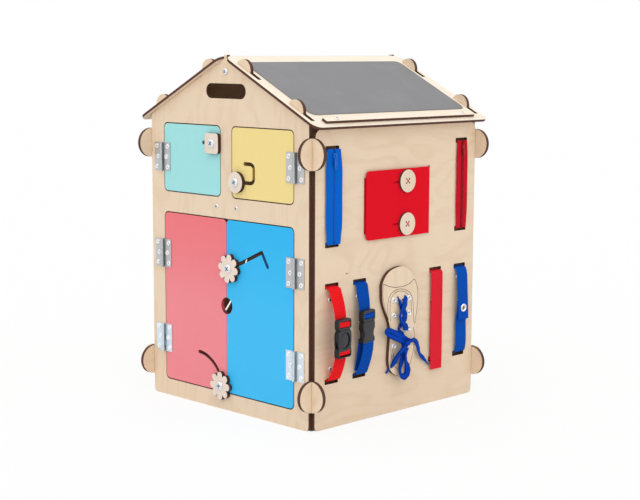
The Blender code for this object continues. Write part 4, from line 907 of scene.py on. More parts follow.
class Buckle:
    """A side-release buckle's places: middle line, face, top and bottom; its plates are drawn in
    millimetres from the top of its middle line.
    """
    half = 15.75

    def __init__(self, colour, y, middle, height, bow, thick, turn, drop):
        self.colour, self.y, self.bow, self.thick, self.turn, self.drop = colour, y, bow, thick, turn, drop
        self.x = WALL_FACE + WEB_T + bow
        self.top, self.bottom = middle + height / 2, middle - height / 2
        self.parts = []

    def mirrored(self, points, from_edge=True):
        """A loop from the outline of its right side, read from the edge or from the middle."""
        right = [(a + self.half * from_edge, b) for a, b in points]
        return right + [(-a, b) for a, b in reversed(right) if a]

    def plate(self, loops, thickness, out=0.0, bevel=0.0, segments=2):
        self.parts.append(outline_plate("plate", loops, thickness, bevel, (self.x + mm(out), 0, 0),
                                        MATS["black_plastic"], (self.y, self.top), segments=segments))

    def finish(self, name, body, part):
        join_plates(name, self.parts, (self.x, self.y, math.radians(self.turn)), body, "black_plastic",
                    f"{self.colour}_buckle_{part}")
        self.parts = []


def join_plates(name, plates, spin, body, slot, *nodes):
    """Joins plates and turns them about the vertical through (x, y) by an angle."""
    piece = join(name, plates)
    x, y, angle = spin
    piece.data.transform(Matrix.Translation((x, y, 0)) @ Matrix.Rotation(angle, 4, "Z")
                         @ Matrix.Translation((-x, -y, 0)))
    place_piece(piece, body, slot, *nodes)


def strap_halves(buckle, fabric, low_window):
    """Both halves of a buckled strap; the upper half turns forward through the buckle's upper window, and the lower
    half through its lower window where low_window is set.
    """
    colour, y, face, bow, thick = buckle.colour, buckle.y, buckle.x, buckle.bow, buckle.thick
    tall = 0.0092
    behind = face - thick / 2 - WEB_T / 2 - FIT
    front = face + thick / 2 - 0.0011
    share = (bow - thick / 2 - WEB_T / 2 - FIT) / bow

    def through(edge, way):
        return [(behind + 0.0003, edge + way * 0.0012), (face - 0.0004, edge - way * 0.0004),
                (front - 0.0004, edge - way * 0.0019), (front, edge - way * tall * 0.5),
                (front - 0.0004, edge - way * (tall - 0.0012)), (face + 0.0006, edge - way * (tall + 0.0006))]

    def half(part, route):
        return band(f"{colour}_strap_{part}_half", route, y, WEB_W, WEB_T, fabric, 0.0005, RIB_PITCH, 0.0006,
                    lean=lambda t: STRAP_LEAN * grow(0.45, 0.95)(t))

    start = lane(STRAP_HIGH, True) - WEB_BEND / 2
    upper = half("upper", entry(STRAP_HIGH, True) + arch(start, buckle.top - 0.0010, bow, share)
                 + through(buckle.top - buckle.drop, 1))
    place_piece(upper, "house", f"{colour}_webbing", f"{colour}_strap_upper")
    start = lane(STRAP_LOW, False) + WEB_BEND / 2
    bottom = buckle.bottom
    if low_window:
        route = arch(start, bottom + 0.0010, bow, share) + through(bottom + 0.0030, -1)
    else:
        out = bow + thick / 2 - 0.0012
        route = arch(start, bottom - 0.0030, out, 1.0)
        route += [(WALL_FACE + WEB_T + out, bottom - 0.0005), (WALL_FACE + WEB_T + out - 0.0004, bottom + 0.0022)]
    lower = half("lower", entry(STRAP_LOW, False) + route)
    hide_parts(f"{colour}_strap_lower")
    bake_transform(lower)


def contoured_buckle(b):
    """The round-centred buckle of the first strap, its plug and its socket."""
    head = ((-4, 0), (-1.5, -0.8), (-0.3, -2.6), (0, -5), (0, -12), (-0.6, -14), (-2.2, -15.5), (-3.2, -16.5))
    arm = ((12.8, -15.5), (12.8, -19.5), (15, -22.5), (15.4, -27.5), (14.6, -33.5), (11.8, -38), (10, -34.5),
           (9.4, -19.5), (3.6, -19.5), (3.6, -37.5))
    b.plate([b.mirrored(head), round_box(-13.4, -12.8, 13.4, -3.6, 0.8, 3)], 8.2, bevel=1.0, segments=3)
    b.plate([b.mirrored(arm, False)], 4.0, bevel=0.7, segments=3)
    b.finish("contoured_plug", "house", "plug")

    shell = b.mirrored(((-3.2, -16.8), (-2, -18), (-0.4, -20.2), (0, -22.8), (0.1, -28.8), (0, -36.8),
                        (-0.8, -41.3), (-0.4, -45.8), (0, -49.5), (0, -53), (-0.5, -55.3), (-1.8, -56.9), (-4, -57.5)))
    cheek = ((11.55, -43.3), (15.55, -43.3), (15.55, -56.3), (0, -57.2))
    window = round_box(-13.4, -55.7, 13.4, -47.7, 0.8, 3)
    middle = -31.8
    b.plate([shell, window, round_loop(0, middle, 12.3, 44)], 2.2, 3.0, bevel=0.8, segments=3)
    b.plate([shell, window], 1.76, -3.22, bevel=0.7)
    b.plate([b.mirrored(cheek, False), window], 4.46)
    disc = ((0, -0.1), (7, -0.2), (9.4, -0.4), (10.4, -0.9), (10.6, -1.6), (10.6, -2.2), (0, -2.2))
    floor = ((0, -1.9), (12.6, -1.9), (12.6, -2.4), (0, -2.4))
    for profile, across, up in ((floor, 0, 0), (disc, -1.4, -0.6)):
        mesh = turned_mesh("round", profile, 44)
        spot = Vector((b.x + b.thick / 2, b.y + mm(across), b.top + mm(middle + up)))
        mesh.transform(Matrix.Translation(spot) @ FACE_OUT)
        b.parts.append(add_object("round", mesh, MATS["black_plastic"]))
    b.finish("contoured_socket", "red_socket", "socket")


def plain_buckle(b):
    """The plain slab-sided buckle of the second strap, whose lower strap leaves straight below."""
    head = ((-3, 0), (-1, -0.6), (0, -3), (0, -13.5), (-0.8, -15.7), (-1.2, -16.5))
    arm = ((13, -15.5), (13, -29), (11.2, -31.5), (8.8, -30.5), (8.8, -19.5), (3.6, -19.5), (3.6, -32.5))
    b.plate([b.mirrored(head), round_box(-13.4, -13.2, 13.4, -4.0, 0.8, 3)], 8.6, bevel=0.9, segments=3)
    b.plate([b.mirrored(arm, False)], 4.6, bevel=0.5)
    b.finish("plain_plug", "house", "plug")

    shell = b.mirrored(((-1.2, -16.8), (-0.4, -18), (0, -22.8), (-0.2, -28.3), (-2.2, -30.8), (-3.4, -34.8),
                        (-3, -39.3), (-0.6, -42.3), (0, -44.3), (0, -46.5), (-1, -48.4), (-3, -49)))
    b.plate([shell], 2.6, 3.0, bevel=1.0, segments=3)
    b.plate([shell], 2.0, -3.3, bevel=0.8)
    b.plate([round_box(-11.55, -44, 11.55, -33.3, 0.6, 2)], 4.2)
    for inner, low, outer, high, radius, steps, thick, bevel, segments in (
            (13.95, -48.2, 15.55, -43.0, 0.4, 2, 4.2, 0.0, 2),    # post
            (13.95, -28.6, 15.55, -17.2, 0.4, 2, 4.2, 0.0, 2),    # neck
            (12.65, -41.8, 15.25, -29.6, 1.2, 5, 5.0, 1.0, 3)):   # grip
        for left, right in ((-outer, -inner), (inner, outer)):
            b.plate([round_box(left, low, right, high, radius, steps)], thick, 0, bevel, segments)
    b.finish("plain_socket", "blue_socket", "socket")


def build_bands():
    # middle height, height, reach from the wall, thickness, turn in degrees, drop to the upper window
    red = Buckle("red", -OUTER_COLUMN, 0.1390, 0.0575, 0.0222, 0.0082, 8.5, 0.0036)
    blue = Buckle("blue", -INNER_COLUMN, 0.1480, 0.0490, 0.0145, 0.0086, 10, 0.0040)
    strap_halves(red, MATS["red_webbing"], True)
    strap_halves(blue, MATS["blue_webbing"], False)
    contoured_buckle(red)
    plain_buckle(blue)
    # the folded tail of the second strap, which shows beside its lower half
    tail = band("blue_strap_tail", mm(((196, 129), (195.8, 121.5), (194.5, 112), (192.5, 100), (190, 88), (188.5, 80))),
                -INNER_COLUMN, WEB_W * 0.98, WEB_T, MATS["blue_webbing"], 0.0004, RIB_PITCH, 0.0004)
    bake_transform(tail)

    out = WALL_FACE + 0.0042
    top = lane(STRAP_HIGH, True)
    low = lane(STRAP_LOW, False)
    route = entry(STRAP_HIGH, True) + [
        (out - 0.0007, top - WEB_BEND / 2), (out, top - 2 * WEB_BEND), (out + 0.0003, 0.170),
        (out - 0.0002, 0.130), (out + 0.0002, 0.090), (out, 0.0545)]
    outer = band("red_loop_band", route, INNER_COLUMN, 0.0272, 0.0014, MATS["red_loop_tape"], 0.00006, 0.0012,
                 waist=lambda t: 0.985 + 0.015 * math.cos(t * 9))
    place_piece(outer, "house", "red_webbing", "red_band_outer")
    inner_x = out - 0.0014 - FIT
    route = entry(STRAP_LOW, False) + [(inner_x, low + WEB_BEND / 2), (inner_x, 0.120), (inner_x, 0.165)]
    inner = band("red_hook_band", route, INNER_COLUMN, WEB_W, 0.0014, MATS["red_loop_tape"], 0.00006, 0.0012)
    place_piece(inner, "house", "red_webbing", "red_band_inner")

    # press-stud strap: the tongue stands clear of the tail below the stud
    face = WALL_FACE + WEB_T
    tongue = [(1.8, -2.2), (3.8, -7), (5.2, -13), (6, -26), (7, -46)]
    tongue = [(face + mm(a), top + mm(b)) for a, b in tongue]
    tongue += [(face + mm(a), mm(z)) for a, z in ((8, 150), (8.6, 138), (9, 127.5))]
    tail = [(face + mm(a), low + mm(b)) for a, b in ((1.6, 2.2), (3.4, 7), (4.4, 15), (4.4, 30))]
    tail += [(face + mm(a), mm(z)) for a, z in ((3.8, 120), (4.2, 132), (6, 143), (6.2, 158))]
    for name, route, node_name in (("snap_tongue", entry(STRAP_HIGH, True) + tongue, "snap_strap_upper"),
                                   ("snap_tail", entry(STRAP_LOW, False) + tail, "snap_strap_lower")):
        half = band(name, route, OUTER_COLUMN, WEB_W, WEB_T, MATS["fine_blue_webbing"], 0.00016, 0.0019, 0.0003)
        place_piece(half, "house", "blue_webbing", node_name)
    ring = ((0, -0.3), (6.4, -0.3), (6.5, 0.6), (6, 1.4), (5.1, 1.8), (4.2, 1.5), (3.6, 0.6), (3.1, 0.2), (0, 0.2))
    eye = ((0, 0.1), (3, 0.1), (2.9, 0.5), (2, 0.9), (0, 0.7))
    for name, profile, steps, skin, nodes in (("snap_ring", ring, 40, "nickel_plate", ["snap_cap"]),
                                              ("snap_eye", eye, 32, "worn_brass", [])):
        mesh = turned_mesh(name, profile, steps)
        mesh.transform(Matrix.Translation((face + 0.0082 + WEB_T / 2, OUTER_COLUMN, 0.146)) @ FACE_OUT)
        place_piece(add_object(name, mesh, MATS[skin]), "house", "zinc_plated_steel", *nodes)


build_bands()


# ---- repeated small items, made by geometry nodes ----
def start_geometry(name, **inputs):
    """Starts a geometry tree; gives its inputs' identifiers and its input sockets."""
    made = bpy.data.node_groups.new(name, "GeometryNodeTree")
    work_on(made)
    made.interface.new_socket("Geometry", in_out="INPUT", socket_type="NodeSocketGeometry")
    ids = {label: made.interface.new_socket(label, in_out="INPUT", socket_type="NodeSocket" + kind).identifier
           for label, kind in inputs.items()}
    made.interface.new_socket("Geometry", in_out="OUTPUT", socket_type="NodeSocketGeometry")
    return ids, node("NodeGroupInput").outputs


def finish_geometry(points, given, rotation):
    """Sets the item on the points, makes it real and gives it its material."""
    item = node("GeometryNodeObjectInfo", {0: given["Item"]})
    spread = node("GeometryNodeInstanceOnPoints", {"Points": points, "Instance": item.outputs["Geometry"],
                                                   "Rotation": rotation})
    solid = node("GeometryNodeRealizeInstances", {0: spread.outputs[0]})
    painted = node("GeometryNodeSetMaterial", {"Geometry": solid.outputs[0], "Material": given["Finish"]})
    node("NodeGroupOutput", {0: painted.outputs[0]})
    return tree


def build_on_points():
    """Sets one item on every point, its top turned to the point's facing and its X to the point's along."""
    ids, given = start_geometry("items_on_points", Item="Object", Finish="Material")
    facing, along = (node("GeometryNodeInputNamedAttribute", {"Name": name}, data_type="FLOAT_VECTOR").outputs[0]
                     for name in ("facing", "along"))
    first = node("FunctionNodeAlignRotationToVector", {"Vector": facing}, axis="Z")
    second = node("FunctionNodeAlignRotationToVector", {"Rotation": first.outputs[0], "Vector": along},
                  axis="X", pivot_axis="Z")
    return finish_geometry(given[0], given, second.outputs[0]), ids


def build_in_row():
    """Repeats an item along a straight line, every other one leaning the other way."""
    ids, given = start_geometry("items_in_a_row", Item="Object", Count="Int", First="Vector", Step="Vector",
                                Lean="Float", Shift="Vector", Finish="Material")
    line = node("GeometryNodeMeshLine", {"Count": given["Count"], "Start Location": given["First"],
                                         "Offset": given["Step"]}, mode="OFFSET")
    odd = mad(maths("MODULO", node("GeometryNodeInputIndex").outputs[0], 2.0), 2.0, -1.0)
    moved = node("GeometryNodeSetPosition", {0: line.outputs[0], "Offset": scaled_vector(given["Shift"], odd)})
    lean = node("ShaderNodeCombineXYZ", {0: mul(given["Lean"], odd)})
    return finish_geometry(moved.outputs[0], given, lean.outputs[0]), ids


ON_POINTS = build_on_points()
IN_ROW = build_in_row()


def run_tree(name, made, base, item, body, slot, *nodes, **values):
    """Runs a geometry tree on a base mesh and places the result as a plain mesh."""
    group, ids = made
    helper = add_object(name + "_helper", base)
    modifier = helper.modifiers.new("repeat", "NODES")
    modifier.node_group = group
    for label, value in {"Item": item, **values}.items():
        modifier[ids[label]] = value
    helper.data.update()
    mesh = finished_mesh(helper)
    mesh.name = name
    discard(helper, item)
    return place_piece(add_object(name, smooth(mesh, 38)), body, slot, *nodes)


def set_items(name, item_mesh, places, facing, along, material, body, *nodes):
    """Sets a metal shape at each place, turned alike."""
    base = bpy.data.meshes.new(name + "_points")
    base.from_pydata([tuple(p) for p in places], [], [])
    for label, value in (("facing", facing), ("along", along)):
        for point in base.attributes.new(label, "FLOAT_VECTOR", "POINT").data:
            point.vector = value
    run_tree(name, ON_POINTS, base, add_object(name + "_item", item_mesh), body, "zinc_plated_steel", *nodes,
             Finish=MATS[material])


def crossed_head(name, radius, height, shank=0.0, length=0.0, arm=0.34):
    """A round head with a cross recess, on a shank where it has one; its seat is at 0. In millimetres."""
    profile = [(0, -length), (shank, -length), (shank, 0)] if shank else [(0, 0)]
    shares = ((0.96, 0), (1, 0.2), (0.96, 0.48), (0.82, 0.78), (0.55, 0.95), (0, 1))
    body = add_object(name, turned_mesh(name, profile + [(radius * a, height * b) for a, b in shares], 28))
    cut_away(body, [from_bmesh(name + "_cut", cube((radius * width, radius * reach, height * 1.1), height * 0.9))
                    for width, reach in ((arm, 1.2), (1.2, arm))])
    mesh = body.data
    discard(body)
    return mesh


# a flat disc set in a recess to stand for the shade there
def recess_shade_disc(name, radius, low, high):
    return turned_mesh(name, [(0, low), (radius, low), (radius, high), (0, high)], 16)


def set_screws(name, radius, height, places, facing, along):
    """Crossed heads on a face of the house, each with a dark disc in its recess: painted shade."""
    set_items(name, crossed_head(name + "_head", radius, height, arm=0.46), places, facing, along,
              "nickel_plate", "house")
    set_items(name + "_recesses", recess_shade_disc(name + "_floor", radius * 0.66, height * 0.36, height * 0.44), places,
              facing, along, "recess_shadow", "house")


def set_rivets(name, places, body):
    """Flat rings drawn near white, a painted highlight, with a dished middle that holds a dark disc of painted shade.
    """
    radius, height = 3.7, 1.5
    shares = ((0.40, 0.0), (1, 0), (1, 0.5), (0.90, 0.9), (0.78, 1), (0.60, 1), (0.50, 0.85), (0.40, 0.3), (0.40, 0.0))
    ring = turned_mesh(name + "_ring", [(radius * a, height * b) for a, b in shares])
    floor = recess_shade_disc(name + "_middle", radius * 0.42, 0, height * 0.35)
    for part, mesh, skin in (("", ring, "rivet_highlight_plate"), ("_middles", floor, "recess_shadow")):
        set_items(name + part, mesh, places, (0, -1, 0), (0.8, 0, 0.6), skin, body)


def crossed_bolt(node_name, body, facing, along):
    """A whole bolt in place of the plain solid: the same head and shank, with a cross recess."""
    low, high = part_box(node_name)
    radius, height = (high.x - low.x) * 500, 2.6
    seat = low.y + mm(height) if facing < 0 else high.y - mm(height)
    place = [((low.x + high.x) / 2, seat, (low.z + high.z) / 2)]
    name = f"{node_name}_crossed"
    mesh = crossed_head(name + "_solid", radius, height, 2.5, (high.y - low.y) * 1000 - height)
    set_items(name, mesh, place, (0, facing, 0), along, "nickel_plate", body, node_name)
    # a blue-grey disc in the cross recess: painted shade
    set_items(name + "_recess", recess_shade_disc(name + "_floor", radius * 0.66, 0.9, 1.1), place, (0, facing, 0), along,
              "bolt_recess_shade", body)


def build_fasteners():
    hinges = {"teal": (-1, 0.38615), "yellow": (1, 0.38615), "red": (-1, 0.23215, 0.09415),
              "blue": (1, 0.23215, 0.09415)}
    rise, far, near = 0.0163, 0.0133, 0.0098
    leaf_face = -0.1870
    wall_spots = []
    for colour, (side, *heights) in hinges.items():
        spots = {1: wall_spots, -1: []}
        for z in heights:
            for reach, dz in ((far, rise), (near, 0.0), (far, -rise)):
                for way, found in spots.items():
                    found.append((side * (HINGE_X + way * reach), leaf_face, z + dz))
        set_rivets(f"{colour}_hinge_rivets", spots[-1], f"{colour}_door")
    set_rivets("wall_hinge_rivets", wall_spots, "house")

    for bolt, body, facing, along in (
            ("teal_latch_bolt", "teal_latch", -1, (0.8, 0, 0.6)),
            ("yellow_latch_bolt", "yellow_latch", -1, (0.9, 0, 0.4)),
            ("upper_flower_bolt", "upper_flower", -1, (0.6, 0, 0.8)),
            ("lower_flower_bolt", "lower_flower", -1, (1, 0, 0.2)),
            ("front_gable_bolt", "house", -1, (0.6, 0, 0.8)), ("back_gable_bolt", "house", 1, (0.6, 0, 0.8))):
        crossed_bolt(bolt, body, facing, along)

    front = [(-0.0225, -0.1860, 0.3168), (0.0225, -0.1860, 0.3168)]
    set_screws("front_screws", 3.4, 1.6, front, (0, -1, 0), (0.7, 0, 0.7))
    strap = [(WALL_FACE, y, z) for y, z in mm((
        (-149.5, 193), (-147.5, 89.8), (-90.7, 191.6), (-89.6, 89.6), (140.7, 196.1), (-83, 191.6), (-140, 193),
        (148, 196.1)))]
    set_screws("strap_screws", 3.7, 2.0, strap, (1, 0, 0), (0, 0.7, 0.7))
    down, lift = 0.2085, 0.0086
    ledge = [(down * COS + lift * SIN, y, RIDGE_Z - down * SIN + lift * COS) for y in (-0.141, 0.141)]
    set_screws("ledge_screws", 3.4, 1.4, ledge, (SIN, 0, COS), (0, 1, 0))


build_fasteners()


def build_flowers():
    """The flower knobs with their deep notches."""
    reach, lobe, waist, steps = 16.6, 5.9, 15.2, 8 * 24
    for latch, turn in (("upper_flower", -8.5), ("lower_flower", 0.0)):
        node_name = f"{latch}_knob"
        low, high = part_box(node_name)
        loop = []
        for i in range(steps):
            angle = 2 * math.pi * i / steps
            off = abs((angle + math.pi / 8) % (math.pi / 4) - math.pi / 8)
            across = reach * math.sin(off)
            radius = reach * math.cos(off) + math.sqrt(lobe ** 2 - across ** 2) if across < lobe else waist
            way = angle + math.radians(turn)
            loop.append((radius * math.cos(way), radius * math.sin(way)))
        knob = outline_plate(f"{latch}_notched", [loop, round_loop(0, 0, 2.8, 16)], (high.y - low.y) * 1000, 0.2,
                             (low + high) / 2, MATS["knob_birch"], facing="y", segments=1)
        place_piece(knob, latch, "birch_plywood", node_name)


build_flowers()

# ---- shoe board with engraved lines, eyelets and wire loops; the lines are in millimetres ----
SHOE_LINES = (
    ((-40.6, 204.9), (-30.8, 200.9), (-17.7, 197.3), (-4.4, 196.3), (8.9, 196.8), (20.6, 199.8), (29.6, 204.7),
     (34.9, 197.0), (38.1, 186.4), (38.7, 173.7), (37.3, 160.1), (34.8, 146.7), (32.3, 135.1), (29.9, 139.1),
     (29.0, 147.4), (28.4, 161.2), (26.8, 172.8), (22.6, 181.3), (15.8, 187.4), (4.0, 192.1), (-6.0, 193.1),
     (-17.5, 190.6), (-25.7, 184.8), (-29.8, 175.2), (-30.3, 164.1), (-28.7, 148.2)),
    ((-40.6, 204.9), (-41.8, 194.7), (-41.0, 183.4), (-38.0, 171.8), (-33.4, 158.9), (-28.0, 147.6)),
    ((24.5, 152.6), (23.6, 166.4), (21.0, 175.8), (15.2, 182.9), (4.0, 188.7), (-6.0, 189.9), (-15.8, 187.0),
     (-22.3, 181.1), (-24.8, 172.4), (-24.9, 158.9), (-23.4, 145.2)),
    ((29.0, 129.5), (31.6, 119.5), (31.5, 105.7), (29.6, 92.1), (26.0, 81.0), (20.6, 70.6)),
    ((-22.4, 113.8), (-21.6, 95.4), (-17.6, 82.0), (-9.8, 71.0), (1.2, 65.3)),
    ((-18.6, 110.0), (-17.4, 96.0), (-13.4, 85.0), (-7.4, 76.4)),
)
SHOE_MIDDLE = 0.0010


def groove_cutter(line, face):
    """A three-sided bar along a line, its keel inside the board."""
    path = smooth_path([Vector((a, b, 0)) for a, b in mm(line)], 0.0022)
    half, above, depth = 0.00062, 0.0004, 0.0010
    bm = bmesh.new()
    rings = []
    for p, ahead in zip(path, headings(path)):
        side = Vector((-ahead.y, ahead.x, 0)) * half
        rings.append([bm.verts.new(co) for co in ((face + above, *(p + side).xy), (face + above, *(p - side).xy),
                                                  (face - depth, *p.xy))])
    for a, b in zip(rings, rings[1:]):
        for j in range(3):
            n = (j + 1) % 3
            bm.faces.new((a[j], a[n], b[n], b[j]))
    bm.faces.new(rings[0])
    bm.faces.new(rings[-1][::-1])
    bmesh.ops.recalc_face_normals(bm, faces=bm.faces)
    return from_bmesh("groove", bm)


def build_shoe():
    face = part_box("shoe_board")[1].x
    bm = bmesh.new()
    bm.from_mesh(bpy.data.objects["shoe_board"].data)
    bmesh.ops.remove_doubles(bm, verts=bm.verts, dist=1e-6)
    bmesh.ops.dissolve_limit(bm, angle_limit=math.radians(0.5), verts=bm.verts, edges=bm.edges)
    shoe = from_bmesh("engraved_shoe", bm, MATS["shoe_birch"])
    cut_away(shoe, [groove_cutter(line, face) for line in SHOE_LINES], use_self=True)
    bm = bmesh.new()
    bm.from_mesh(shoe.data)
    bmesh.ops.triangulate(bm, faces=[f for f in bm.faces if len(f.verts) > 4])
    bm.to_mesh(shoe.data)
    bm.free()
    shoe.data.materials.clear()
    shoe.data.materials.append(MATS["shoe_birch"])
    shoe.data.shade_flat()
    place_piece(shoe, "house", "birch_plywood", "shoe_board")

    rows = [0.1770 - 0.0237 * i for i in range(4)]
    spots = [(face, SHOE_MIDDLE + side * 0.017, z) for z in rows for side in (-1, 1)]
    ring = ((1.9, -3), (2.3, -3), (2.3, 0), (4.4, 0), (4.6, 0.4), (4.2, 1.2), (3.4, 1.6), (2.6, 1.3), (1.9, 0.4),
            (1.9, -3))
    set_items("shoe_eyelets", turned_mesh("eyelet", ring), spots, OUT, (0, 1, 0), "nickel_plate", "house")
    # a bent wire loop from each eyelet of the upper three rows to the lace
    loops = []
    for z in rows[:3]:
        for side in (-1, 1):
            x, y, tip = face + 0.0014, SHOE_MIDDLE + side * 0.0150, SHOE_MIDDLE + side * 0.0085
            route = [(x, y, z + 0.0022), (x + 0.0004, y - side * 0.002, z + 0.0018),
                     (x + 0.0006, tip + side * 0.0008, z - 0.0028), (x + 0.0006, tip, z - 0.0042),
                     (x + 0.0006, tip + side * 0.0012, z - 0.0048), (x + 0.0004, y - side * 0.001, z - 0.0012),
                     (x, y, z + 0.0002)]
            loops.append(wire(route, 0.0009, 0.0007, MATS["nickel_plate"], up=OUT))
    place_piece(join("lace_wire_loops", loops), "house", "zinc_plated_steel")


build_shoe()


# ---- zips ----
def zip_plates(name, rows, x, y, z, colour, body, *nodes):
    """Joins plates given as loops, thickness, distance out and bevel, all in millimetres."""
    plates = [outline_plate("plate", loops, thick, bevel, (x + mm(out), 0, 0), MATS[f"{colour}_enamel"], (y, z))
              for loops, thick, out, bevel in rows]
    join_plates(name, plates, (x, y, 0.0), body, f"{colour}_webbing", *nodes)


def build_zips():
    ease = grow(0.16, 0.34)
    top = 0.41395
    bottom = top - 0.140
    pitch = 0.00130
    for colour, y, out, width, turn, lean in (("blue", -OUTER_COLUMN, WALL_FACE + 0.0040, 0.0300, -7.5, 0.6),
                                              ("red", OUTER_COLUMN, WALL_FACE + 0.0022, 0.0262, -1.0, 0.3)):
        high, low = lane(top, True), lane(bottom, False)
        route = entry(top, True) + [
            (out - 0.0012, high - WEB_BEND / 2), (out, high - WEB_BEND), (out + 0.0003, (high + low) / 2),
            (out, low + WEB_BEND), (out - 0.0012, low + WEB_BEND / 2), *reversed(entry(bottom, False))]
        tape = band(f"{colour}_zip_cloth", route, y, width, 0.0010, MATS[f"{colour}_zip_tape"], step=0.0015,
                    waist=lambda t: (0.89 + 0.11 * ease(min(t, 1 - t))) * (1 + 0.008 * math.sin(t * 23)),
                    lean=lambda t: math.radians(turn) * ease(min(t, 1 - t)))
        place_piece(tape, "house", f"{colour}_webbing", f"{colour}_zip_tape")
        bm = cube((0.9, 2.6, 0.75))
        bmesh.ops.bevel(bm, geom=list(bm.edges), offset=0.00022, segments=1, profile=0.5, affect="EDGES")
        run_tree(f"{colour}_zip_teeth", IN_ROW, bpy.data.meshes.new("start"), from_bmesh("tooth", bm), "house",
                 f"{colour}_webbing", Count=int((high - low - 0.0075) / pitch), First=(out + 0.0007, y, low + 0.0045),
                 Step=(0, 0, pitch), Lean=lean, Shift=(0, 0.0006, 0), Finish=MATS[f"{colour}_enamel"])
    # blue slider: arched body with a bridge, and a long pull with two holes
    low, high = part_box("blue_zip_slider")
    tall = (high.z - low.z) * 1000
    shape = [(-3, 0), (-4.2, -3.5), (-4.2, -6), (-3, -10), (-2.2, -13), (2.2, -13), (3, -10), (4.2, -6),
             (4.2, -3.5), (3, 0)]
    pull = [round_box(-3.1, -tall, 3.1, -6.2, 3.0, 7), round_loop(0, 3.3 - tall, 1.3, 16),
            round_box(-1.4, -12.2, 1.4, -7.8, 1.2, 4)]
    bridge = round_box(-1.2, -10.5, 1.2, -1.5, 1.1, 5)
    zip_plates("zip_slider_and_pull", (([shape], 2.6, 1.3, 0.6), ([bridge], 1.2, 3.0, 0.4), (pull, 1.3, 3.25, 0.3)),
               low.x, (low.y + high.y) / 2, high.z, "blue", "zip_slider", "blue_zip_slider")
    # red slider, parked at the top of its zip
    pull = [round_box(-1.7, -17.5, 1.7, -4.5, 1.6, 5), round_loop(0, -15.8, 0.8, 12)]
    body = [(a * 0.7, b * 0.75) for a, b in shape]
    zip_plates("red_slider_and_pull", (([body], 2.4, 1.2, 0.5), (pull, 1.1, 2.8, 0.3)), WALL_FACE + 0.0030,
               OUTER_COLUMN, 0.4065, "red", "house")


build_zips()

# ---- buttoned flap ----
FLAP_LOW, FLAP_HIGH = 0.2735, 0.3770
BUTTON_SPOTS = ((0.0110, 0.2925), (0.0110, 0.3580))


def felt_sheet(name, route, z0, z1, corner, node_name, slits=()):
    """A felt sheet bent along its route of (y, x) points, with rounded free corners and cut slits.

    Gives the piece, its area and its length along the route.
    """
    path = smooth_path([Vector((x, y, 0)) for y, x in route], 0.0016)
    rows = 44
    run = [0.0]
    for p, q in zip(path, path[1:]):
        run.append(run[-1] + (q - p).length)
    bm = bmesh.new()
    uv = bm.loops.layers.uv.new("UVMap")
    grid = []
    for p, along in zip(path, run):
        short = max(0.0, corner - (run[-1] - along))
        inset = corner - math.sqrt(max(0.0, corner ** 2 - short ** 2))
        column = []
        for k in range(rows + 1):
            t = k / rows
            lift = 0.00025 * math.sin(along * 70 + t * 5) * min(1.0, along / 0.03)
            column.append(bm.verts.new((p.x + lift, p.y, z0 + inset + (z1 - z0 - 2 * inset) * t)))
        grid.append(column)
    for i in range(len(path) - 1):
        for k in range(rows):
            corners = ((i, k), (i + 1, k), (i + 1, k + 1), (i, k + 1))
            quad = [grid[a][b] for a, b in corners]
            y = sum(v.co.y for v in quad) / 4
            z = sum(v.co.z for v in quad) / 4
            if any(a < y < b and abs(z - level) < (z1 - z0) / rows * 0.55 and path[i].x > WALL_FACE
                   for a, b, level in slits):
                continue
            for loop, (a, _) in zip(bm.faces.new(quad).loops, corners):
                loop[uv].uv = (run[a], loop.vert.co.z)
    bmesh.ops.recalc_face_normals(bm, faces=bm.faces)
    if sum(f.normal.x for f in bm.faces) < 0:
        bmesh.ops.reverse_faces(bm, faces=bm.faces)
    area = sum(f.calc_area() for f in bm.faces)
    sheet = from_bmesh(name, bm, MATS["red_felt"], sharp=60)
    solid = sheet.modifiers.new("felt_thickness", "SOLIDIFY")
    solid.thickness, solid.offset = 0.0013, 0.0
    apply_modifiers(sheet)
    smooth(sheet.data, 60)
    place_piece(sheet, "house", "red_webbing", node_name)
    return sheet, area, run[-1]


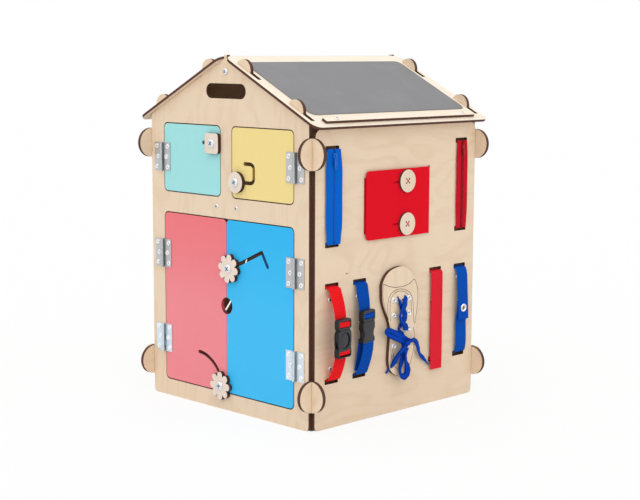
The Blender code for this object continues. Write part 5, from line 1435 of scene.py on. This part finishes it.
def build_flap():
    thick, lift, bend = 0.0014, 0.0006, WEB_BEND / 2
    under_x = WALL_FACE + lift + thick / 2
    over_x = under_x + thick + lift
    inside = ROOM_HALF - WEB_BEND
    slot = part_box("flap_under")[0].y + thick / 2 + 0.0004
    route = [(slot, inside), (slot, WALL_FACE - 0.0022), (slot + bend * 0.35, WALL_FACE + 0.0006),
             (slot + bend * 1.4, under_x), (-0.02, under_x), (0.039, under_x)]
    z_low, z_high = FLAP_LOW + 0.011, FLAP_HIGH - 0.011
    under, area, total = felt_sheet("felt_under", route, z_low, z_high, 0.002, "flap_under")
    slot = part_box("flap_over")[1].y - thick / 2
    route = [(slot, inside), (slot, WALL_FACE - 0.0008), (slot - bend * 0.5, under_x),
             (slot - 2 * bend, under_x + 0.0005), (0.0480, under_x + 0.0008), (0.0390, over_x - 0.0002),
             (0.0270, over_x + 0.0001), (-0.02, over_x), (-0.0768, over_x + 0.0001)]
    slits = [(-0.0180, -0.0030, z) for _, z in BUTTON_SPOTS]
    over, area, total = felt_sheet("felt_over", route, FLAP_LOW, FLAP_HIGH, 0.0070, "flap_over", slits)

    # thread sewn crosswise through each button: reach along its line, and height over the button's face
    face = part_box("button_upper")[1].x
    strands = []
    for y, z in BUTTON_SPOTS:
        for sign in (-1, 1):
            stitch = ((-3.055, -2), (-2.34, 0.1), (0, 1.0 if sign > 0 else 0.6), (2.34, 0.1), (3.055, -2))
            route = [(face + up, y + d, z + sign * d) for d, up in mm(stitch)]
            strands.append(wire(route, 0.0005, 0.00042, MATS["red_thread"]))
    place_piece(join("button_threads", strands), "house", "red_webbing")


build_flap()

# ---- finishes of the plates and bolts that stay as they are, by parts of their names ----
FINISHES = {
    "front_wall": "front_birch", "back_wall": "back_birch", "right_wall": "right_birch", "left_wall": "left_birch",
    "roof_right": "lit_right_roof_birch", "roof_left": "left_roof_birch", "chalk_ledge": "lit_right_roof_birch",
    "chalkboard": "chalkboard_slate", "ridge_beam": "beam_birch", "door_stop": "front_birch",
    "teal_door": "teal_paint", "yellow_door": "yellow_paint", "red_door": "coral_paint", "blue_door": "blue_paint",
    "button_": "button_birch", "hinge": "hinge_plate", "bolt": "zinc_plated_steel", "washer": "zinc_plated_steel",
    "nut": "zinc_plated_steel", "knob": "knob_birch",
}
for name in sorted(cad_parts):
    key = next((key for part, key in FINISHES.items() if part in name), None)
    obj = bpy.data.objects[name]
    if key and obj.material_slots:
        for slot in obj.material_slots:
            slot.material = MATS[key]
    elif key:
        obj.data.materials.append(MATS[key])
